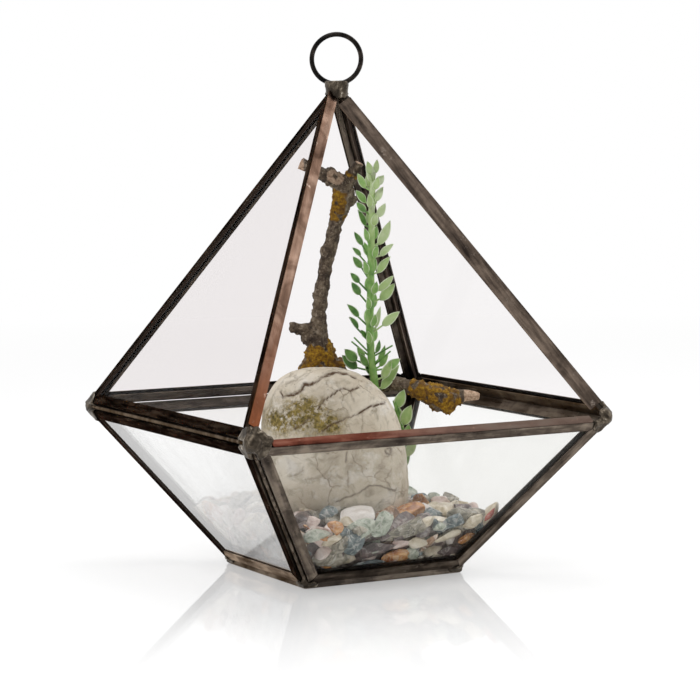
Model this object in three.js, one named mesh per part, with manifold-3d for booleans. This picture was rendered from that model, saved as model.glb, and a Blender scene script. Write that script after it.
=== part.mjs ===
// Glass plant terrarium: a faceted lantern of came-edged panes with a hanging ring, planted
// with gravel, one stone, a forked lichen branch and a leafy sprig.
// Millimetres, +Z up. The origin is the middle of the footprint. The open facet faces -Y.

import * as THREE from 'three';
import { mergeVertices } from 'three/addons/utils/BufferGeometryUtils.js';
import { ConvexGeometry } from 'three/addons/geometries/ConvexGeometry.js';
import Module from 'manifold-3d';

const wasm = await Module();
wasm.setup();

// Glass body, measured at the middle of the pane thickness
const BELT_SIDE = 180;
const BELT_Z = 73.6;
const FOOT_SIDE = 79.6;
const FOOT_Z = 2.8;
const APEX_Z = 224.3;

// Folded U-section came and the pane that sits in it
const CAME_THICK = 3.4;
const CAME_FLANGE = 4.8;
const SLIM_FLANGE = 2.6;
const CAME_METAL = 0.4;
const PANE_THICK = 2.0;
const BASE_SIDE = 80.4;

// Gap kept between neighbouring pieces
const SEAM = 0.3;

// Flat strip that finishes the bare came edges round the open facet
const STRIP_THICK = 0.5;

// Solder at the corners: a skin over the cames inside a ball that stands proud of the corner,
// and a knob that fills the grooves. At the apex the knob is a flat-topped drum.
const SOLDER_SKIN = 0.8;
const SOLDER_LAP = 0.5;
const BELT_SOLDER = { reach: 7.8, proud: 1.1, knob: 4.5, inset: 3.7, lift: 0 };
const FOOT_SOLDER = { reach: 5.6, proud: 2.3, knob: 3.7, inset: 2.2, lift: 1.0 };
const APEX_REACH = 7.5;
const APEX_DRUM = { top: 5.9, bottom: 4.7, from: 218, to: 226.1 };

// Wire ring
const RING_RADIUS = 11.3;
const WIRE_RADIUS = 1.1;
const RING_SINK = 0.45;
const RING_TURN = THREE.MathUtils.degToRad(-33);

// The planting is laid out in its own turned frame: x sideways, y towards the back
const PLANTING_TURN = THREE.MathUtils.degToRad(-27.9);

// Stone
const STONE = { across: 33, deep: 24, up: 44.3, down: 38, x: -2.5, y: -10, z: 51, lean: -0.14 };
const STONE_POWER = 2.4;

// Gravel bed
const GRAVEL_FLOOR = CAME_THICK + SEAM;
const GRAVEL_EDGE_Z = 23;
const GRAVEL_HEAP_Z = 27.6;
const GRAVEL_HEAP_SIDE = 66;
const CHIP = { long: 7.4, wide: 5.8, thick: 3.6 };
const CHIP_PITCH = 13;

const material = (color, roughness, metalness, extra = {}) =>
  new THREE.MeshStandardMaterial({ color, roughness, metalness, ...extra });
const BRONZE = material(0x352c27, 0.45, 0.9);
const COPPER = material(0x8c5039, 0.45, 0.9);
const SOLDER = material(0x5b5348, 0.5, 0.8);
const WIRE = material(0x24211f, 0.5, 0.8);
const GLASS = material(0xeef3f2, 0.04, 0, { transparent: true, opacity: 0.2 });
const PALE_STONE = material(0xc2b8a8, 0.85, 0);
const CHIPPINGS = material(0x9b9288, 0.4, 0);
const BARK = material(0x65523d, 0.9, 0);
const LEAF = material(0x7fae74, 0.55, 0);

const vec = (x, y, z) => new THREE.Vector3(x, y, z);

function mesh(name, geometry, surface) {
  const piece = new THREE.Mesh(geometry, surface);
  piece.name = name;
  return piece;
}

// A closed solid from a geometry, and a geometry from a solid
function solid(geometry) {
  const bare = geometry.clone();
  bare.deleteAttribute('normal');
  bare.deleteAttribute('uv');
  const merged = mergeVertices(bare, 1e-4);
  return new wasm.Manifold(new wasm.Mesh({
    numProp: 3,
    vertProperties: Float32Array.from(merged.attributes.position.array),
    triVerts: Uint32Array.from(merged.index.array),
  }));
}

function geometryOf(body) {
  const { vertProperties, triVerts } = body.getMesh();
  const geometry = new THREE.BufferGeometry();
  geometry.setAttribute('position', new THREE.BufferAttribute(vertProperties, 3));
  geometry.setIndex(new THREE.BufferAttribute(triVerts, 1));
  geometry.computeVertexNormals();
  return geometry;
}

const joined = (bodies) => bodies.reduce((whole, body) => whole.add(body));

function ball(centre, radius, across = 12, up = 9) {
  return solid(new THREE.SphereGeometry(radius, across, up).translate(centre.x, centre.y, centre.z));
}

// Outlines in a facet's own plane: x along its first edge, y inwards, z outwards

// Corner k of an outline whose edges are each moved inwards by their own distance
function insetCorner(outline, distances, k) {
  const count = outline.length;
  const before = (k + count - 1) % count;
  const along = (i) => outline[(i + 1) % count].clone().sub(outline[i]).normalize();
  const inward = (i) => new THREE.Vector2(-along(i).y, along(i).x);
  const [m0, m1] = [inward(before), inward(k)];
  const [d0, d1] = [distances[before], distances[k]];
  const det = m0.x * m1.y - m0.y * m1.x;
  const shift = new THREE.Vector2((d0 * m1.y - d1 * m0.y) / det, (d1 * m0.x - d0 * m1.x) / det);
  return outline[k].clone().add(shift);
}

function insetOutline(facet, depthOf) {
  const distances = facet.setbacks.map((setback, k) => setback + depthOf(k));
  return facet.outline.map((corner, k) => insetCorner(facet.outline, distances, k));
}

function facetOf(name, corners, edges, setbacks, flanges, glazed = true) {
  const origin = corners.reduce((sum, corner) => sum.add(corner), vec(0, 0, 0)).divideScalar(corners.length);
  const x = corners[1].clone().sub(corners[0]).normalize();
  const normal = x.clone().cross(corners[2].clone().sub(corners[1])).normalize();
  const y = normal.clone().cross(x);
  const outline = corners.map((corner) => {
    const arm = corner.clone().sub(origin);
    return new THREE.Vector2(arm.dot(x), arm.dot(y));
  });
  const place = new THREE.Matrix4().makeBasis(x, y, normal).setPosition(origin);
  return { name, edges, outline, normal, place, setbacks, flanges, glazed };
}

// The eight facets and the base, each outline anticlockwise seen from outside

function squareCorners(side, z) {
  const h = side / 2;
  return [vec(-h, -h, z), vec(h, -h, z), vec(h, h, z), vec(-h, h, z)];
}

// How far a came stands back from a shared edge so that neighbours' inner corners just meet
function setbackFor(normal, neighbour) {
  const half = (Math.PI - normal.angleTo(neighbour)) / 2;
  return CAME_THICK / 2 / Math.tan(half) + SEAM / 2 / Math.sin(half);
}

const SIDES = ['front', 'right', 'back', 'left'];
const belt = squareCorners(BELT_SIDE, BELT_Z);
const foot = squareCorners(FOOT_SIDE, FOOT_Z);
const apex = vec(0, 0, APEX_Z);

const upperCorners = (i) => [belt[i], belt[(i + 1) % 4], apex];
const lowerCorners = (i) => [foot[i], foot[(i + 1) % 4], belt[(i + 1) % 4], belt[i]];
const plain = (corners) => facetOf('', corners, [], [], []).normal;
const upperNormals = SIDES.map((side, i) => plain(upperCorners(i)));
const lowerNormals = SIDES.map((side, i) => plain(lowerCorners(i)));

const uprightSetback = setbackFor(upperNormals[0], upperNormals[1]);
const beltSetback = setbackFor(upperNormals[0], lowerNormals[0]);
const cornerSetback = setbackFor(lowerNormals[0], lowerNormals[1]);
const footSetback = setbackFor(lowerNormals[0], vec(0, 0, -1));

// The two uprights away from the opening have slim cames
const uprightFlange = (i) => (belt[i % 4].y < 0 ? CAME_FLANGE : SLIM_FLANGE);
const uppers = SIDES.map((side, i) => facetOf(`${side}_upper`, upperCorners(i),
  ['belt', 'right', 'left'], [beltSetback, uprightSetback, uprightSetback],
  [CAME_FLANGE, uprightFlange(i + 1), uprightFlange(i)], side !== 'front'));
const lowers = SIDES.map((side, i) => facetOf(`${side}_lower`, lowerCorners(i),
  ['foot', 'right', 'belt', 'left'], [footSetback, cornerSetback, beltSetback, cornerSetback],
  Array(4).fill(CAME_FLANGE)));
const base = facetOf('base', squareCorners(BASE_SIDE, CAME_THICK / 2).reverse(),
  ['back', 'right', 'front', 'left'], Array(4).fill(0), Array(4).fill(CAME_FLANGE));
const glazed = [...uppers, ...lowers, base].filter((facet) => facet.glazed);

// A straight bar along edge k of a facet, mitred at both ends.
// Its section is drawn with x inwards from the came's outer edge and y outwards.
function edgeBar(facet, k, section, trims = [0, 0]) {
  const { outline, setbacks } = facet;
  const count = outline.length;
  const next = (k + 1) % count;
  const start = outline[k];
  const along = outline[next].clone().sub(start).normalize();
  const inward = new THREE.Vector2(-along.y, along.x);
  const halfAngle = (i) => {
    const a = outline[(i + 1) % count].clone().sub(outline[i]);
    const b = outline[(i + count - 1) % count].clone().sub(outline[i]);
    return Math.acos(a.dot(b) / a.length() / b.length()) / 2;
  };
  const reach = (corner, depth) => {
    const distances = setbacks.map((setback) => setback + depth);
    return insetCorner(outline, distances, corner).sub(start).dot(along);
  };
  const bar = new THREE.ExtrudeGeometry(new THREE.Shape(section), { depth: 1, bevelEnabled: false });
  const spots = bar.attributes.position;
  for (let i = 0; i < spots.count; i += 1) {
    const depth = spots.getX(i);
    const from = reach(k, depth) + SEAM / 2 / Math.sin(halfAngle(k)) + trims[0];
    const to = reach(next, depth) - SEAM / 2 / Math.sin(halfAngle(next)) - trims[1];
    const run = from + (to - from) * spots.getZ(i);
    const spot = start.clone().addScaledVector(along, run).addScaledVector(inward, setbacks[k] + depth);
    spots.setXYZ(i, spot.x, spot.y, spots.getY(i));
  }
  bar.computeVertexNormals();
  return bar;
}

const point = (x, y) => new THREE.Vector2(x, y);

function cameSection(flange) {
  const face = CAME_THICK / 2;
  const slot = face - CAME_METAL;
  return [point(0, -face), point(flange, -face), point(flange, -slot), point(CAME_METAL, -slot),
    point(CAME_METAL, slot), point(flange, slot), point(flange, face), point(0, face)];
}

function stripSection({ inside, outside }, grow) {
  const near = -SEAM + Math.min(grow, SEAM);
  const far = -SEAM - STRIP_THICK - grow;
  const low = -CAME_THICK / 2 - inside - grow;
  const high = CAME_THICK / 2 + outside + grow;
  return [point(far, low), point(near, low), point(near, high), point(far, high)];
}

function pane(facet) {
  const outline = insetOutline(facet, () => CAME_METAL + SEAM);
  const plate = new THREE.ExtrudeGeometry(new THREE.Shape(outline), { depth: PANE_THICK, bevelEnabled: false });
  return plate.translate(0, 0, -PANE_THICK / 2);
}

// Panes and cames, each facet in its own group
function facetGroup(facet) {
  const group = new THREE.Group();
  facet.place.decompose(group.position, group.quaternion, group.scale);
  group.add(mesh(`pane_${facet.name}`, pane(facet), GLASS));
  facet.edges.forEach((edge, k) => {
    group.add(mesh(`came_${facet.name}_${edge}`, edgeBar(facet, k, cameSection(facet.flanges[k])), BRONZE));
  });
  return group;
}

// The strips lie on the three cames that border the open front facet. Each hangs over the
// inside and outside of its came by its own amount, and stops short of the corners.
const [, rightUpper, , leftUpper] = uppers;
const frontLower = lowers[0];
const OPENING_EDGES = [
  { name: 'edge_strip_left', facet: leftUpper, edge: 'right', inside: 0.8, outside: 0.9, trims: [8, 3] },
  { name: 'edge_strip_right', facet: rightUpper, edge: 'left', inside: 3.8, outside: 0, trims: [6.4, 7] },
  { name: 'edge_strip_belt', facet: frontLower, edge: 'belt', inside: 0.7, outside: 0, trims: [9, 9] },
];
const stripGeometry = (border, grow = 0) => {
  const { facet, edge, trims } = border;
  const bar = edgeBar(facet, facet.edges.indexOf(edge), stripSection(border, grow), trims.map((trim) => trim - grow));
  return bar.applyMatrix4(facet.place);
};

function edgeStrips() {
  return OPENING_EDGES.map((border) => mesh(border.name, stripGeometry(border), COPPER));
}

// Solder joints: a thin skin over the came ends and a knob at the corner, outside the glass

// A flat band that follows all of a facet's cames, grown by a margin
function cameBand(facet, grow, flangeChange) {
  const shape = new THREE.Shape(insetOutline(facet, () => -grow));
  const inner = insetOutline(facet, (k) => facet.flanges[k] + flangeChange);
  shape.holes.push(new THREE.Path(inner.reverse()));
  const depth = CAME_THICK + 2 * grow;
  const band = new THREE.ExtrudeGeometry(shape, { depth, bevelEnabled: false });
  return solid(band.translate(0, 0, -depth / 2).applyMatrix4(facet.place));
}

function ringGeometry(wire) {
  const ring = new THREE.TorusGeometry(RING_RADIUS, wire, 8, 36).rotateX(Math.PI / 2).rotateZ(RING_TURN);
  return ring.translate(0, 0, APEX_Z + RING_RADIUS + RING_SINK);
}

function solderJoints() {
  const skins = new Map(glazed.map((facet) => [facet, cameBand(facet, SOLDER_SKIN, -SOLDER_LAP)]));
  const floorBlock = new THREE.BoxGeometry(BELT_SIDE, BELT_SIDE, BELT_SIDE);
  const clear = joined([
    ...glazed.map((facet) => cameBand(facet, SEAM, SEAM)),
    ...OPENING_EDGES.map((border) => solid(stripGeometry(border, SEAM))),
    solid(new ConvexGeometry([...belt, ...foot, ...squareCorners(FOOT_SIDE - 8, 0), apex])),
    solid(ringGeometry(WIRE_RADIUS + SEAM)),
    solid(floorBlock.translate(0, 0, SEAM - BELT_SIDE / 2)),
  ]);

  const joint = (name, facets, spread, knob) => {
    const skin = joined(facets.filter((facet) => facet.glazed).map((facet) => skins.get(facet)));
    return mesh(name, geometryOf(skin.intersect(spread).add(knob).subtract(clear)), SOLDER);
  };
  const inFrom = (corner, inset, lift) => {
    const out = vec(Math.sign(corner.x), Math.sign(corner.y), 0).multiplyScalar(inset / Math.SQRT2);
    return corner.clone().sub(out).add(vec(0, 0, lift));
  };
  const cornerJoint = (name, corner, facets, { reach, proud, knob, inset, lift }) => joint(name, facets,
    ball(inFrom(corner, reach - proud, lift), reach, 18, 12), ball(inFrom(corner, inset, lift), knob));
  const drum = new THREE.CylinderGeometry(APEX_DRUM.top, APEX_DRUM.bottom, APEX_DRUM.to - APEX_DRUM.from, 14);
  drum.rotateX(Math.PI / 2).translate(0, 0, (APEX_DRUM.from + APEX_DRUM.to) / 2);

  const around = (facets, i) => [facets[i], facets[(i + 3) % 4]];
  const CORNERS = ['front_left', 'front_right', 'back_right', 'back_left'];
  return [
    joint('solder_apex', uppers, ball(apex, APEX_REACH), solid(drum)),
    ...CORNERS.map((where, i) => cornerJoint(`solder_belt_${where}`, belt[i],
      [...around(uppers, i), ...around(lowers, i)], BELT_SOLDER)),
    ...CORNERS.map((where, i) => cornerJoint(`solder_foot_${where}`, foot[i],
      [...around(lowers, i), base], FOOT_SOLDER)),
  ];
}

// Planting

// Repeatable random numbers from 0 to 1
function randomFrom(seed) {
  let state = seed;
  return () => {
    state = (state + 0x6d2b79f5) | 0;
    let t = Math.imul(state ^ (state >>> 15), 1 | state);
    t = (t + Math.imul(t ^ (t >>> 7), 61 | t)) ^ t;
    return ((t ^ (t >>> 14)) >>> 0) / 4294967296;
  };
}

const turned = (geometry) => geometry.rotateZ(PLANTING_TURN);

// A rounded boulder, squarer than an egg, leaning a little and softly dented
function stoneGeometry(grow = 0) {
  const stone = new THREE.IcosahedronGeometry(1, 4);
  const spots = stone.attributes.position;
  for (let i = 0; i < spots.count; i += 1) {
    const [x, y, z] = [spots.getX(i), spots.getY(i), spots.getZ(i)];
    const height = z > 0 ? STONE.up : STONE.down;
    const sum = Math.abs(x / STONE.across) ** STONE_POWER + Math.abs(y / STONE.deep) ** STONE_POWER
      + Math.abs(z / height) ** STONE_POWER;
    const dent = 0.5 * Math.sin(4.1 * x + 1.3) * Math.cos(3.3 * z + 2 * y) + 0.4 * Math.sin(6.2 * y + 2.7 * z);
    const radius = sum ** (-1 / STONE_POWER) + dent + grow;
    spots.setXYZ(i, STONE.x + x * radius + STONE.lean * z * radius, STONE.y + y * radius, STONE.z + z * radius);
  }
  stone.computeVertexNormals();
  return turned(stone);
}

// A round rod along a smooth route, with knots on it
function rod(route, radius, sides, steps) {
  const path = new THREE.CatmullRomCurve3(route.map(([x, y, z]) => vec(x, y, z)));
  const section = new THREE.Shape(Array.from({ length: sides }, (unused, i) => {
    const angle = 2 * Math.PI * i / sides;
    return point(radius * Math.cos(angle), radius * Math.sin(angle));
  }));
  return solid(new THREE.ExtrudeGeometry(section, { steps, bevelEnabled: false, extrudePath: path }));
}

function knot([x, y, z], radius, stretch = 1) {
  return solid(new THREE.IcosahedronGeometry(radius, 1).scale(1, 1, stretch).translate(x, y, z));
}

// The forked branch: a crooked main limb with short sawn stubs, and a side limb to the right
const BRANCH_LIMBS = [
  { radius: 4.6, steps: 7, route: [[-6, 27, 7], [-8, 25.5, 45], [-9, 22, 70], [-9.4, 15, 92], [-9.6, 12, 101]] },
  { radius: 3.5, steps: 7, route: [[-9.4, 13, 98], [-10.6, 9.5, 110], [-9.2, 7.5, 123], [-7.2, 6.5, 134]] },
  { radius: 3.2, steps: 8, route: [[-7.6, 6.6, 132], [-5.4, 5.5, 144], [-1.4, 4.2, 160], [3, 3, 174], [1, 2.4, 180]] },
  { radius: 3.0, steps: 5, route: [[1.6, 2.6, 178], [-3.4, 1.8, 181.6], [-8.2, 1.6, 183.8], [-17.2, 2.4, 188]] },
  { radius: 2.8, steps: 4, route: [[2.4, 2.6, 177], [6.2, 2, 182], [9.6, 1, 188]] },
  { radius: 2.2, steps: 3, route: [[-10.4, 9.4, 110.5], [-16, 8.6, 111], [-23, 7.4, 112.6]] },
  { radius: 3.0, steps: 8, route: [[-8, 24, 58], [2, 21.5, 72], [14, 18, 81.5], [25, 13.5, 84.6], [34, 11, 82.4]] },
  { radius: 2.8, steps: 5, route: [[32, 11.4, 82.8], [46, 9, 78.8], [64, 8, 78.4]] },
];
const BRANCH_KNOTS = [
  { at: [-9.2, 15, 93], radius: 8.6, stretch: 1.1 },
  { at: [-9.8, 12.4, 102], radius: 6.2, stretch: 1.2 },
  { at: [-11, 10, 110], radius: 4.8, stretch: 1 },
  { at: [-8.6, 7.2, 127], radius: 4.5, stretch: 1.2 },
  { at: [3, 3, 173], radius: 5.2, stretch: 1.2 },
  { at: [-1.5, 2.2, 180.5], radius: 4.6, stretch: 1 },
  { at: [43, 9.4, 79.4], radius: 4.9, stretch: 1 },
  { at: [50.5, 8.6, 77.2], radius: 4.4, stretch: 1.3 },
];

function branchSolid(grow = 0) {
  return joined([
    ...BRANCH_LIMBS.map(({ radius, steps, route }) => rod(route, radius + grow, 7, steps)),
    ...BRANCH_KNOTS.map(({ at, radius, stretch }) => knot(at, radius + grow, stretch)),
  ]);
}

// The sprig: a stem with pairs of pointed leaves, a low side shoot and a tuft behind the stone
const STEM = { radius: 1.4, steps: 14, route: [[13, 21, 7], [14.5, 19, 45], [16.5, 13, 76], [14.4, 8, 96],
  [14, 5, 113], [14.8, 2, 135], [15.4, -1.5, 157], [15.8, -3, 172], [16.6, -4, 186]] };
const SHOOT = { radius: 1.0, steps: 7, route: [[13.4, 20.6, 20], [21, 18, 40], [28.5, 13, 52],
  [28.5, 10, 64], [25, 8.5, 76]] };
const LEAF_SHAPE = [[-0.45, -1], [0.45, -1], [0.45, 2.8], [1.8, 5.6], [0, 9.4], [-1.8, 5.6], [-0.45, 2.8]];
const LEAF_THICK = 0.7;
const LEAF_ROLL = THREE.MathUtils.degToRad(50);

// A leaf rooted on a stem, pointing out at a heading round it and rising at a pitch
function leaf(root, heading, pitch, size) {
  const outline = new THREE.Shape(LEAF_SHAPE.map(([x, y]) => point(x * size, y < 0 ? y : y * size)));
  const blade = new THREE.ExtrudeGeometry(outline, { depth: LEAF_THICK, bevelEnabled: false });
  blade.translate(0, 0, -LEAF_THICK / 2);
  blade.rotateY(LEAF_ROLL);
  blade.rotateX(pitch);
  blade.rotateZ(heading - Math.PI / 2);
  return solid(blade.translate(root.x, root.y, root.z));
}

// Pairs of leaves up a stem, the next pair turned from the one below it
function leafPairs({ route }, { from, to, pairs, size, heading, swing, pitch }) {
  const path = new THREE.CatmullRomCurve3(route.map(([x, y, z]) => vec(x, y, z)));
  const leaves = [];
  for (let i = 0; i < pairs; i += 1) {
    const share = pairs > 1 ? i / (pairs - 1) : 0;
    const root = path.getPointAt(from + (to - from) * share);
    const turn = heading + (i % 2 === 0 ? swing : -swing);
    const scale = size * (1.12 - 0.3 * share);
    leaves.push(leaf(root, turn, pitch, scale), leaf(root, turn + Math.PI, pitch, scale));
  }
  return leaves;
}

function sprigSolid() {
  const rise = THREE.MathUtils.degToRad;
  return joined([
    rod(STEM.route, STEM.radius, 5, STEM.steps),
    rod(SHOOT.route, SHOOT.radius, 5, SHOOT.steps),
    ...leafPairs(STEM, { from: 0.5, to: 0.985, pairs: 13, size: 1.1, heading: 0, swing: 0.35, pitch: rise(48) }),
    ...leafPairs(STEM, { from: 0.56, to: 0.96, pairs: 4, size: 0.9, heading: Math.PI / 2, swing: 0.3, pitch: rise(58) }),
    ...leafPairs(SHOOT, { from: 0.55, to: 0.97, pairs: 4, size: 0.9, heading: -0.6, swing: 0.25, pitch: rise(40) }),
  ]);
}

function sprigStems(grow) {
  return rod(STEM.route, STEM.radius + grow, 5, STEM.steps).add(rod(SHOOT.route, SHOOT.radius + grow, 5, SHOOT.steps));
}

// Half width of the room inside the lower facets at a height, a margin in from their middle
const lowerSlope = (BELT_SIDE - FOOT_SIDE) / 2 / (BELT_Z - FOOT_Z);
const roomMargin = (CAME_THICK / 2 + SEAM) * Math.hypot(1, lowerSlope);
const roomHalf = (z) => FOOT_SIDE / 2 + (z - FOOT_Z) * lowerSlope - roomMargin;

// One chip of gravel: a squashed, slightly crooked lump
function chip(centre, random) {
  const bare = new THREE.IcosahedronGeometry(1, 0);
  bare.deleteAttribute('normal');
  bare.deleteAttribute('uv');
  const lump = mergeVertices(bare, 1e-4);
  const spots = lump.attributes.position;
  for (let i = 0; i < spots.count; i += 1) {
    const stretch = 0.86 + 0.3 * random();
    spots.setXYZ(i, spots.getX(i) * stretch, spots.getY(i) * stretch, spots.getZ(i) * stretch);
  }
  const size = 0.8 + 0.45 * random();
  lump.scale(CHIP.long * size, CHIP.wide * size, CHIP.thick * size);
  lump.rotateX(1.3 * (random() - 0.5)).rotateY(1.3 * (random() - 0.5)).rotateZ(2 * Math.PI * random());
  return solid(lump.translate(centre.x, centre.y, centre.z));
}

function heapHeight(x, y) {
  const out = Math.max(Math.abs(x), Math.abs(y)) - GRAVEL_HEAP_SIDE / 2;
  const run = roomHalf(GRAVEL_EDGE_Z) - GRAVEL_HEAP_SIDE / 2;
  return GRAVEL_HEAP_Z - (GRAVEL_HEAP_Z - GRAVEL_EDGE_Z) * THREE.MathUtils.clamp(out / run, 0, 1);
}

// Chips over the top of the bed on a jittered grid, and against the glass on all four sides
function gravelChips() {
  const random = randomFrom(4127);
  const chips = [];
  const jitter = () => CHIP_PITCH * 0.6 * (random() - 0.5);
  const top = roomHalf(GRAVEL_EDGE_Z);
  const rows = Math.round(2 * top / CHIP_PITCH);
  for (let i = 0; i < rows; i += 1) {
    for (let j = 0; j < rows; j += 1) {
      const x = -top + (i + 0.5) * 2 * top / rows + jitter();
      const y = -top + (j + 0.5) * 2 * top / rows + jitter();
      chips.push(chip(vec(x, y, heapHeight(x, y) + random()), random));
    }
  }
  for (let side = 0; side < 4; side += 1) {
    for (let z = GRAVEL_FLOOR + 3.5; z < GRAVEL_EDGE_Z; z += 0.72 * CHIP_PITCH) {
      const half = roomHalf(z);
      const count = Math.round(2 * half / CHIP_PITCH);
      for (let i = 0; i < count; i += 1) {
        const along = -half + (i + 0.5) * 2 * half / count + 0.5 * jitter();
        const spot = vec(along, -half + 1.5, z + 0.3 * jitter()).applyAxisAngle(vec(0, 0, 1), side * Math.PI / 2);
        chips.push(chip(spot, random));
      }
    }
  }
  return chips;
}

function gravelSolid() {
  const coreInset = 3.4;
  const core = new ConvexGeometry([
    ...squareCorners(2 * (roomHalf(GRAVEL_FLOOR) - coreInset), GRAVEL_FLOOR),
    ...squareCorners(2 * (roomHalf(GRAVEL_EDGE_Z) - coreInset), GRAVEL_EDGE_Z),
    ...squareCorners(GRAVEL_HEAP_SIDE, GRAVEL_HEAP_Z),
  ]);
  const room = new ConvexGeometry([
    ...squareCorners(2 * roomHalf(GRAVEL_FLOOR), GRAVEL_FLOOR),
    ...squareCorners(2 * roomHalf(BELT_Z), BELT_Z),
  ]);
  const pockets = solid(stoneGeometry(SEAM + 0.1))
    .add(solid(turned(geometryOf(branchSolid(SEAM)))))
    .add(solid(turned(geometryOf(sprigStems(SEAM)))));
  return joined([solid(core), ...gravelChips()]).intersect(solid(room)).subtract(pockets);
}

function planting() {
  return [
    mesh('gravel', geometryOf(gravelSolid()), CHIPPINGS),
    mesh('stone', stoneGeometry(), PALE_STONE),
    mesh('branch', turned(geometryOf(branchSolid())), BARK),
    mesh('sprig', turned(geometryOf(sprigSolid())), LEAF),
  ];
}

const terrarium = new THREE.Group();
terrarium.add(
  ...glazed.map(facetGroup),
  ...edgeStrips(),
  ...solderJoints(),
  mesh('hanging_ring', ringGeometry(WIRE_RADIUS), WIRE),
  ...planting(),
);

export default terrarium;
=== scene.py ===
import math
import random

import bpy
import bmesh
from mathutils import Matrix, Vector, noise


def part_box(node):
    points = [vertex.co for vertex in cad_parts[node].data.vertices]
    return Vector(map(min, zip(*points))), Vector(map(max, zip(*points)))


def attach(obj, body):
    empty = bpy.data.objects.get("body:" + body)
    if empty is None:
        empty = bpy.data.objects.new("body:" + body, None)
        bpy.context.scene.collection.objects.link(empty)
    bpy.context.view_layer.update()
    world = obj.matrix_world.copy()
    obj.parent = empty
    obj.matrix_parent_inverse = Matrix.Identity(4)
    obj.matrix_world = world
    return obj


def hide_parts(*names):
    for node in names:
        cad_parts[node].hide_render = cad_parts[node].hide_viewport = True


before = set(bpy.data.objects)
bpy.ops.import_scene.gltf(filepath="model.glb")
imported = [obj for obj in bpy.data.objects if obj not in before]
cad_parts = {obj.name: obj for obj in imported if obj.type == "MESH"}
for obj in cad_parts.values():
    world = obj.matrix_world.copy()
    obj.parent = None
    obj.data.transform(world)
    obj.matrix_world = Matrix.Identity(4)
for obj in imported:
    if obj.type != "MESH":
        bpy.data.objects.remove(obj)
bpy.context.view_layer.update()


# Camera. It stands a little over a metre away, slightly above the belt of the lantern, and
# looks at the front left corner, with the picture turned a touch anticlockwise.
MM = 0.001
VIEW_TURN = math.radians(-27.9)
VIEW_RISE = math.radians(5.01)
VIEW_ROLL = math.radians(-0.71)
VIEW_DISTANCE = 1160 * MM
AIM_ASIDE = 4.6
AIM_HEIGHT = 101.9
FOCAL_LENGTH = 128.65
SENSOR_WIDTH = 36
FARTHEST_SEEN = 50


def in_scene(name, data):
    made = bpy.data.objects.new(name, data)
    bpy.context.scene.collection.objects.link(made)
    return made


sideways = Vector((math.cos(VIEW_TURN), math.sin(VIEW_TURN), 0))
backwards = Vector((math.sin(VIEW_TURN) * math.cos(VIEW_RISE),
                    -math.cos(VIEW_TURN) * math.cos(VIEW_RISE), math.sin(VIEW_RISE)))
aim = sideways * AIM_ASIDE * MM + Vector((0, 0, AIM_HEIGHT * MM))
looking = Matrix((sideways, backwards.cross(sideways), backwards)).transposed().to_4x4()

lens = bpy.data.cameras.new("studio_camera")
lens.lens = FOCAL_LENGTH
lens.sensor_width = SENSOR_WIDTH
lens.clip_end = FARTHEST_SEEN
camera = in_scene("studio_camera", lens)
camera.matrix_world = (Matrix.Translation(aim + backwards * VIEW_DISTANCE) @ looking
                       @ Matrix.Rotation(VIEW_ROLL, 4, "Z"))
bpy.context.scene.camera = camera
bpy.context.scene.view_settings.view_transform = "Standard"
bpy.context.scene.view_settings.look = "None"


# Studio floor: a white glossy table. Its mirror picture of the lantern fades out towards
# the viewer, and far away it runs into the white of the room.
FLOOR_HALF = 6.0
FLOOR_DROP = 0.2 * MM
MIRROR_MOST = 0.3
MIRROR_FADES = (0.1, 0.28)
TABLE_FADES = (0.3, 1.6)
TABLE_GREY = 0.5
TABLE_LIFT = 0.46
TABLE_ROUGHNESS = 0.03
SQUARE = ((-1, -1), (1, -1), (1, 1), (-1, 1))


def new_piece(name, vertices, faces, smooth=False):
    mesh = bpy.data.meshes.new(name)
    mesh.from_pydata([tuple(v) for v in vertices], [], faces)
    mesh.validate()
    if smooth:
        mesh.shade_smooth()
    return in_scene(name, mesh)


def new_finish(name):
    finish = bpy.data.materials.new(name)
    finish.use_nodes = True
    finish.node_tree.nodes.clear()
    return finish, finish.node_tree


def add(tree, kind, inputs=None, **settings):
    """A new node; an input takes a value, an output, or a node for its first output."""
    made = tree.nodes.new("ShaderNode" + kind)
    for key, value in settings.items():
        setattr(made, key, value)
    for key, value in (inputs or {}).items():
        if isinstance(value, bpy.types.Node):
            value = value.outputs[0]
        if isinstance(value, bpy.types.NodeSocket):
            tree.links.new(value, made.inputs[key])
        else:
            made.inputs[key].default_value = value
    return made


def rescale(tree, value, low, high, to_low=0.0, to_high=1.0):
    return add(tree, "MapRange", {0: value, 1: low, 2: high, 3: to_low, 4: to_high})


def here(tree):
    return add(tree, "TexCoord").outputs["Object"]


def rgb(r, g, b):
    return (r, g, b, 1)


def blend(tree, share, under, over):
    return add(tree, "MixShader", {0: share, 1: under, 2: over})


def output(tree, surface):
    add(tree, "OutputMaterial", {"Surface": surface})


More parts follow.
